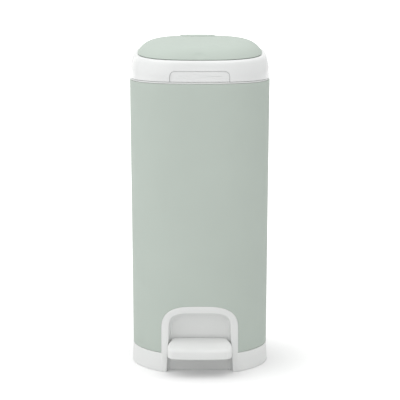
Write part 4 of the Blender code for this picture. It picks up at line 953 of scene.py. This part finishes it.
# Floor, backdrop, lamps and camera
def seen(nodes, links):
    """One where the camera sees a surface itself, or in gloss or through glass, and zero elsewhere."""
    rays = nodes.new("ShaderNodeLightPath")
    value = rays.outputs["Is Camera Ray"]
    for name in ("Is Glossy Ray", "Is Transmission Ray"):
        most = nodes.new("ShaderNodeMath")
        most.operation = "MAXIMUM"
        links.new(value, most.inputs[0])
        links.new(rays.outputs[name], most.inputs[1])
        value = most.outputs["Value"]
    return value


def paper(name):
    """White paper: it takes the bin's shadow, and a painted glow seen only by the camera and in gloss adds to
    it: weak close round the bin as painted shade, growing further out as painted light, so the paper shows
    white away from the bin.
    """
    colour = (0.80, 0.80, 0.80)
    made, nodes, links, shader = shader_of(name, colour)
    shader.inputs["Base Color"].default_value = (*colour, 1.0)
    shader.inputs["Roughness"].default_value = 0.9
    shader.inputs["Specular IOR Level"].default_value = 0.1
    painted_glow = nodes.new("ShaderNodeEmission")
    away = nodes.new("ShaderNodeVectorMath")
    away.operation = "LENGTH"
    # Distance from a point 2 cm right of the bin's axis, so that the painted shade round the bin lies a
    # little to its right
    shifted = nodes.new("ShaderNodeVectorMath")
    shifted.operation = "SUBTRACT"
    shifted.inputs[1].default_value = (0.02, 0.0, 0.0)
    links.new(nodes.new("ShaderNodeTexCoord").outputs["Object"], shifted.inputs[0])
    links.new(shifted.outputs["Vector"], away.inputs[0])
    # Each painted glow's start and end away from the bin, and its strength at both: the weak glow beside the
    # bin paints shade round its foot, the far one paints light out to the backdrop
    painted_shade_beside_bin, painted_light_out_to_backdrop = (0.10, 0.22, 0.11, 0.33), (0.30, 1.6, 0.0, 0.5)
    near, far = (ramp(nodes, links, away.outputs["Value"], *ends)
                 for ends in (painted_shade_beside_bin, painted_light_out_to_backdrop))
    whole = nodes.new("ShaderNodeMath")
    links.new(near, whole.inputs[0])
    links.new(far, whole.inputs[1])
    scaled = nodes.new("ShaderNodeMath")
    scaled.operation = "MULTIPLY"
    links.new(whole.outputs["Value"], scaled.inputs[0])
    links.new(seen(nodes, links), scaled.inputs[1])
    links.new(scaled.outputs["Value"], painted_glow.inputs["Strength"])
    both = nodes.new("ShaderNodeAddShader")
    links.new(shader.outputs["BSDF"], both.inputs[0])
    links.new(painted_glow.outputs["Emission"], both.inputs[1])
    links.new(both.outputs["Shader"], nodes["Material Output"].inputs["Surface"])
    return made


def make_floor():
    """A sheet of paper that runs on far behind the bin."""
    bm = bmesh.new()
    bmesh.ops.create_grid(bm, x_segments=1, y_segments=1, size=12.0)
    floor = solid_object("floor", bm, Matrix.Identity(4))
    # The paper's material carries the painted glow: painted shade beside the bin, painted light further out
    floor.data.materials.append(paper("paper_with_painted_light"))


def lamp(name, place, aim, size, watts):
    """A square-cornered soft box at one place, turned to another."""
    data = bpy.data.lights.new(name, "AREA")
    data.shape = "RECTANGLE"
    data.size, data.size_y = size
    data.energy = watts
    made = bpy.data.objects.new(name, data)
    made.location = place
    made.rotation_euler = (Vector(aim) - Vector(place)).to_track_quat("-Z", "Y").to_euler()
    bpy.context.scene.collection.objects.link(made)


def make_world():
    """Plain light from all round, a little below the white that shows behind the bin and in gloss."""
    light, shown = 0.73, 1.0
    world = bpy.data.worlds.new("studio")
    world.use_nodes = True
    nodes, links = world.node_tree.nodes, world.node_tree.links
    ground = nodes["Background"]
    ground.inputs["Color"].default_value = (1.0, 1.0, 1.0, 1.0)
    ground.inputs["Strength"].default_value = light
    white = nodes.new("ShaderNodeBackground")
    white.inputs["Color"].default_value = (1.0, 1.0, 1.0, 1.0)
    white.inputs["Strength"].default_value = shown
    pick = nodes.new("ShaderNodeMixShader")
    links.new(seen(nodes, links), pick.inputs["Fac"])
    links.new(ground.outputs["Background"], pick.inputs[1])
    links.new(white.outputs["Background"], pick.inputs[2])
    links.new(pick.outputs["Shader"], nodes["World Output"].inputs["Surface"])
    bpy.context.scene.world = world


def make_camera():
    """A long lens in front, which looks a little down on the bin."""
    down = 9.942
    data = bpy.data.cameras.new("camera")
    data.lens = 152.3
    data.sensor_width = 36.0
    data.clip_end = 50.0
    camera = bpy.data.objects.new("camera", data)
    camera.location = (0.0004, -3.0709, 0.8404)
    camera.rotation_euler = (math.radians(90 - down), 0, 0)
    bpy.context.scene.collection.objects.link(camera)
    bpy.context.scene.camera = camera


make_floor()
lamp("key", (-1.5, -1.7, 1.5), (0, 0, 0.3), (1.2, 1.6), 2.6)
lamp("top", (-0.1, -0.2, 2.4), (0, 0, 0.3), (3.0, 3.0), 24.5)
lamp("front", (-0.2, -3.2, 0.9), (0, 0, 0.3), (1.6, 1.2), 4.4)
lamp("side", (-2.2, -0.3, 1.0), (0, 0, 0.3), (2.4, 2.0), 6.8)
lamp("left_edge", (-1.55, 1.95, 0.9), (0, 0, 0.5), (1.2, 1.3), 1.8)
lamp("right_edge", (2.4, 1.0, 0.9), (0, 0, 0.5), (0.12, 1.2), 0.35)
lamp("left_glint", (-1.70, -0.49, 2.33), (0, 0, 0.56), (0.35, 0.20), 0.5)
lamp("right_glint", (1.02, -1.44, 2.33), (0, 0, 0.56), (0.50, 0.25), 0.5)
make_world()
make_camera()
bpy.context.scene.view_settings.view_transform = "Standard"
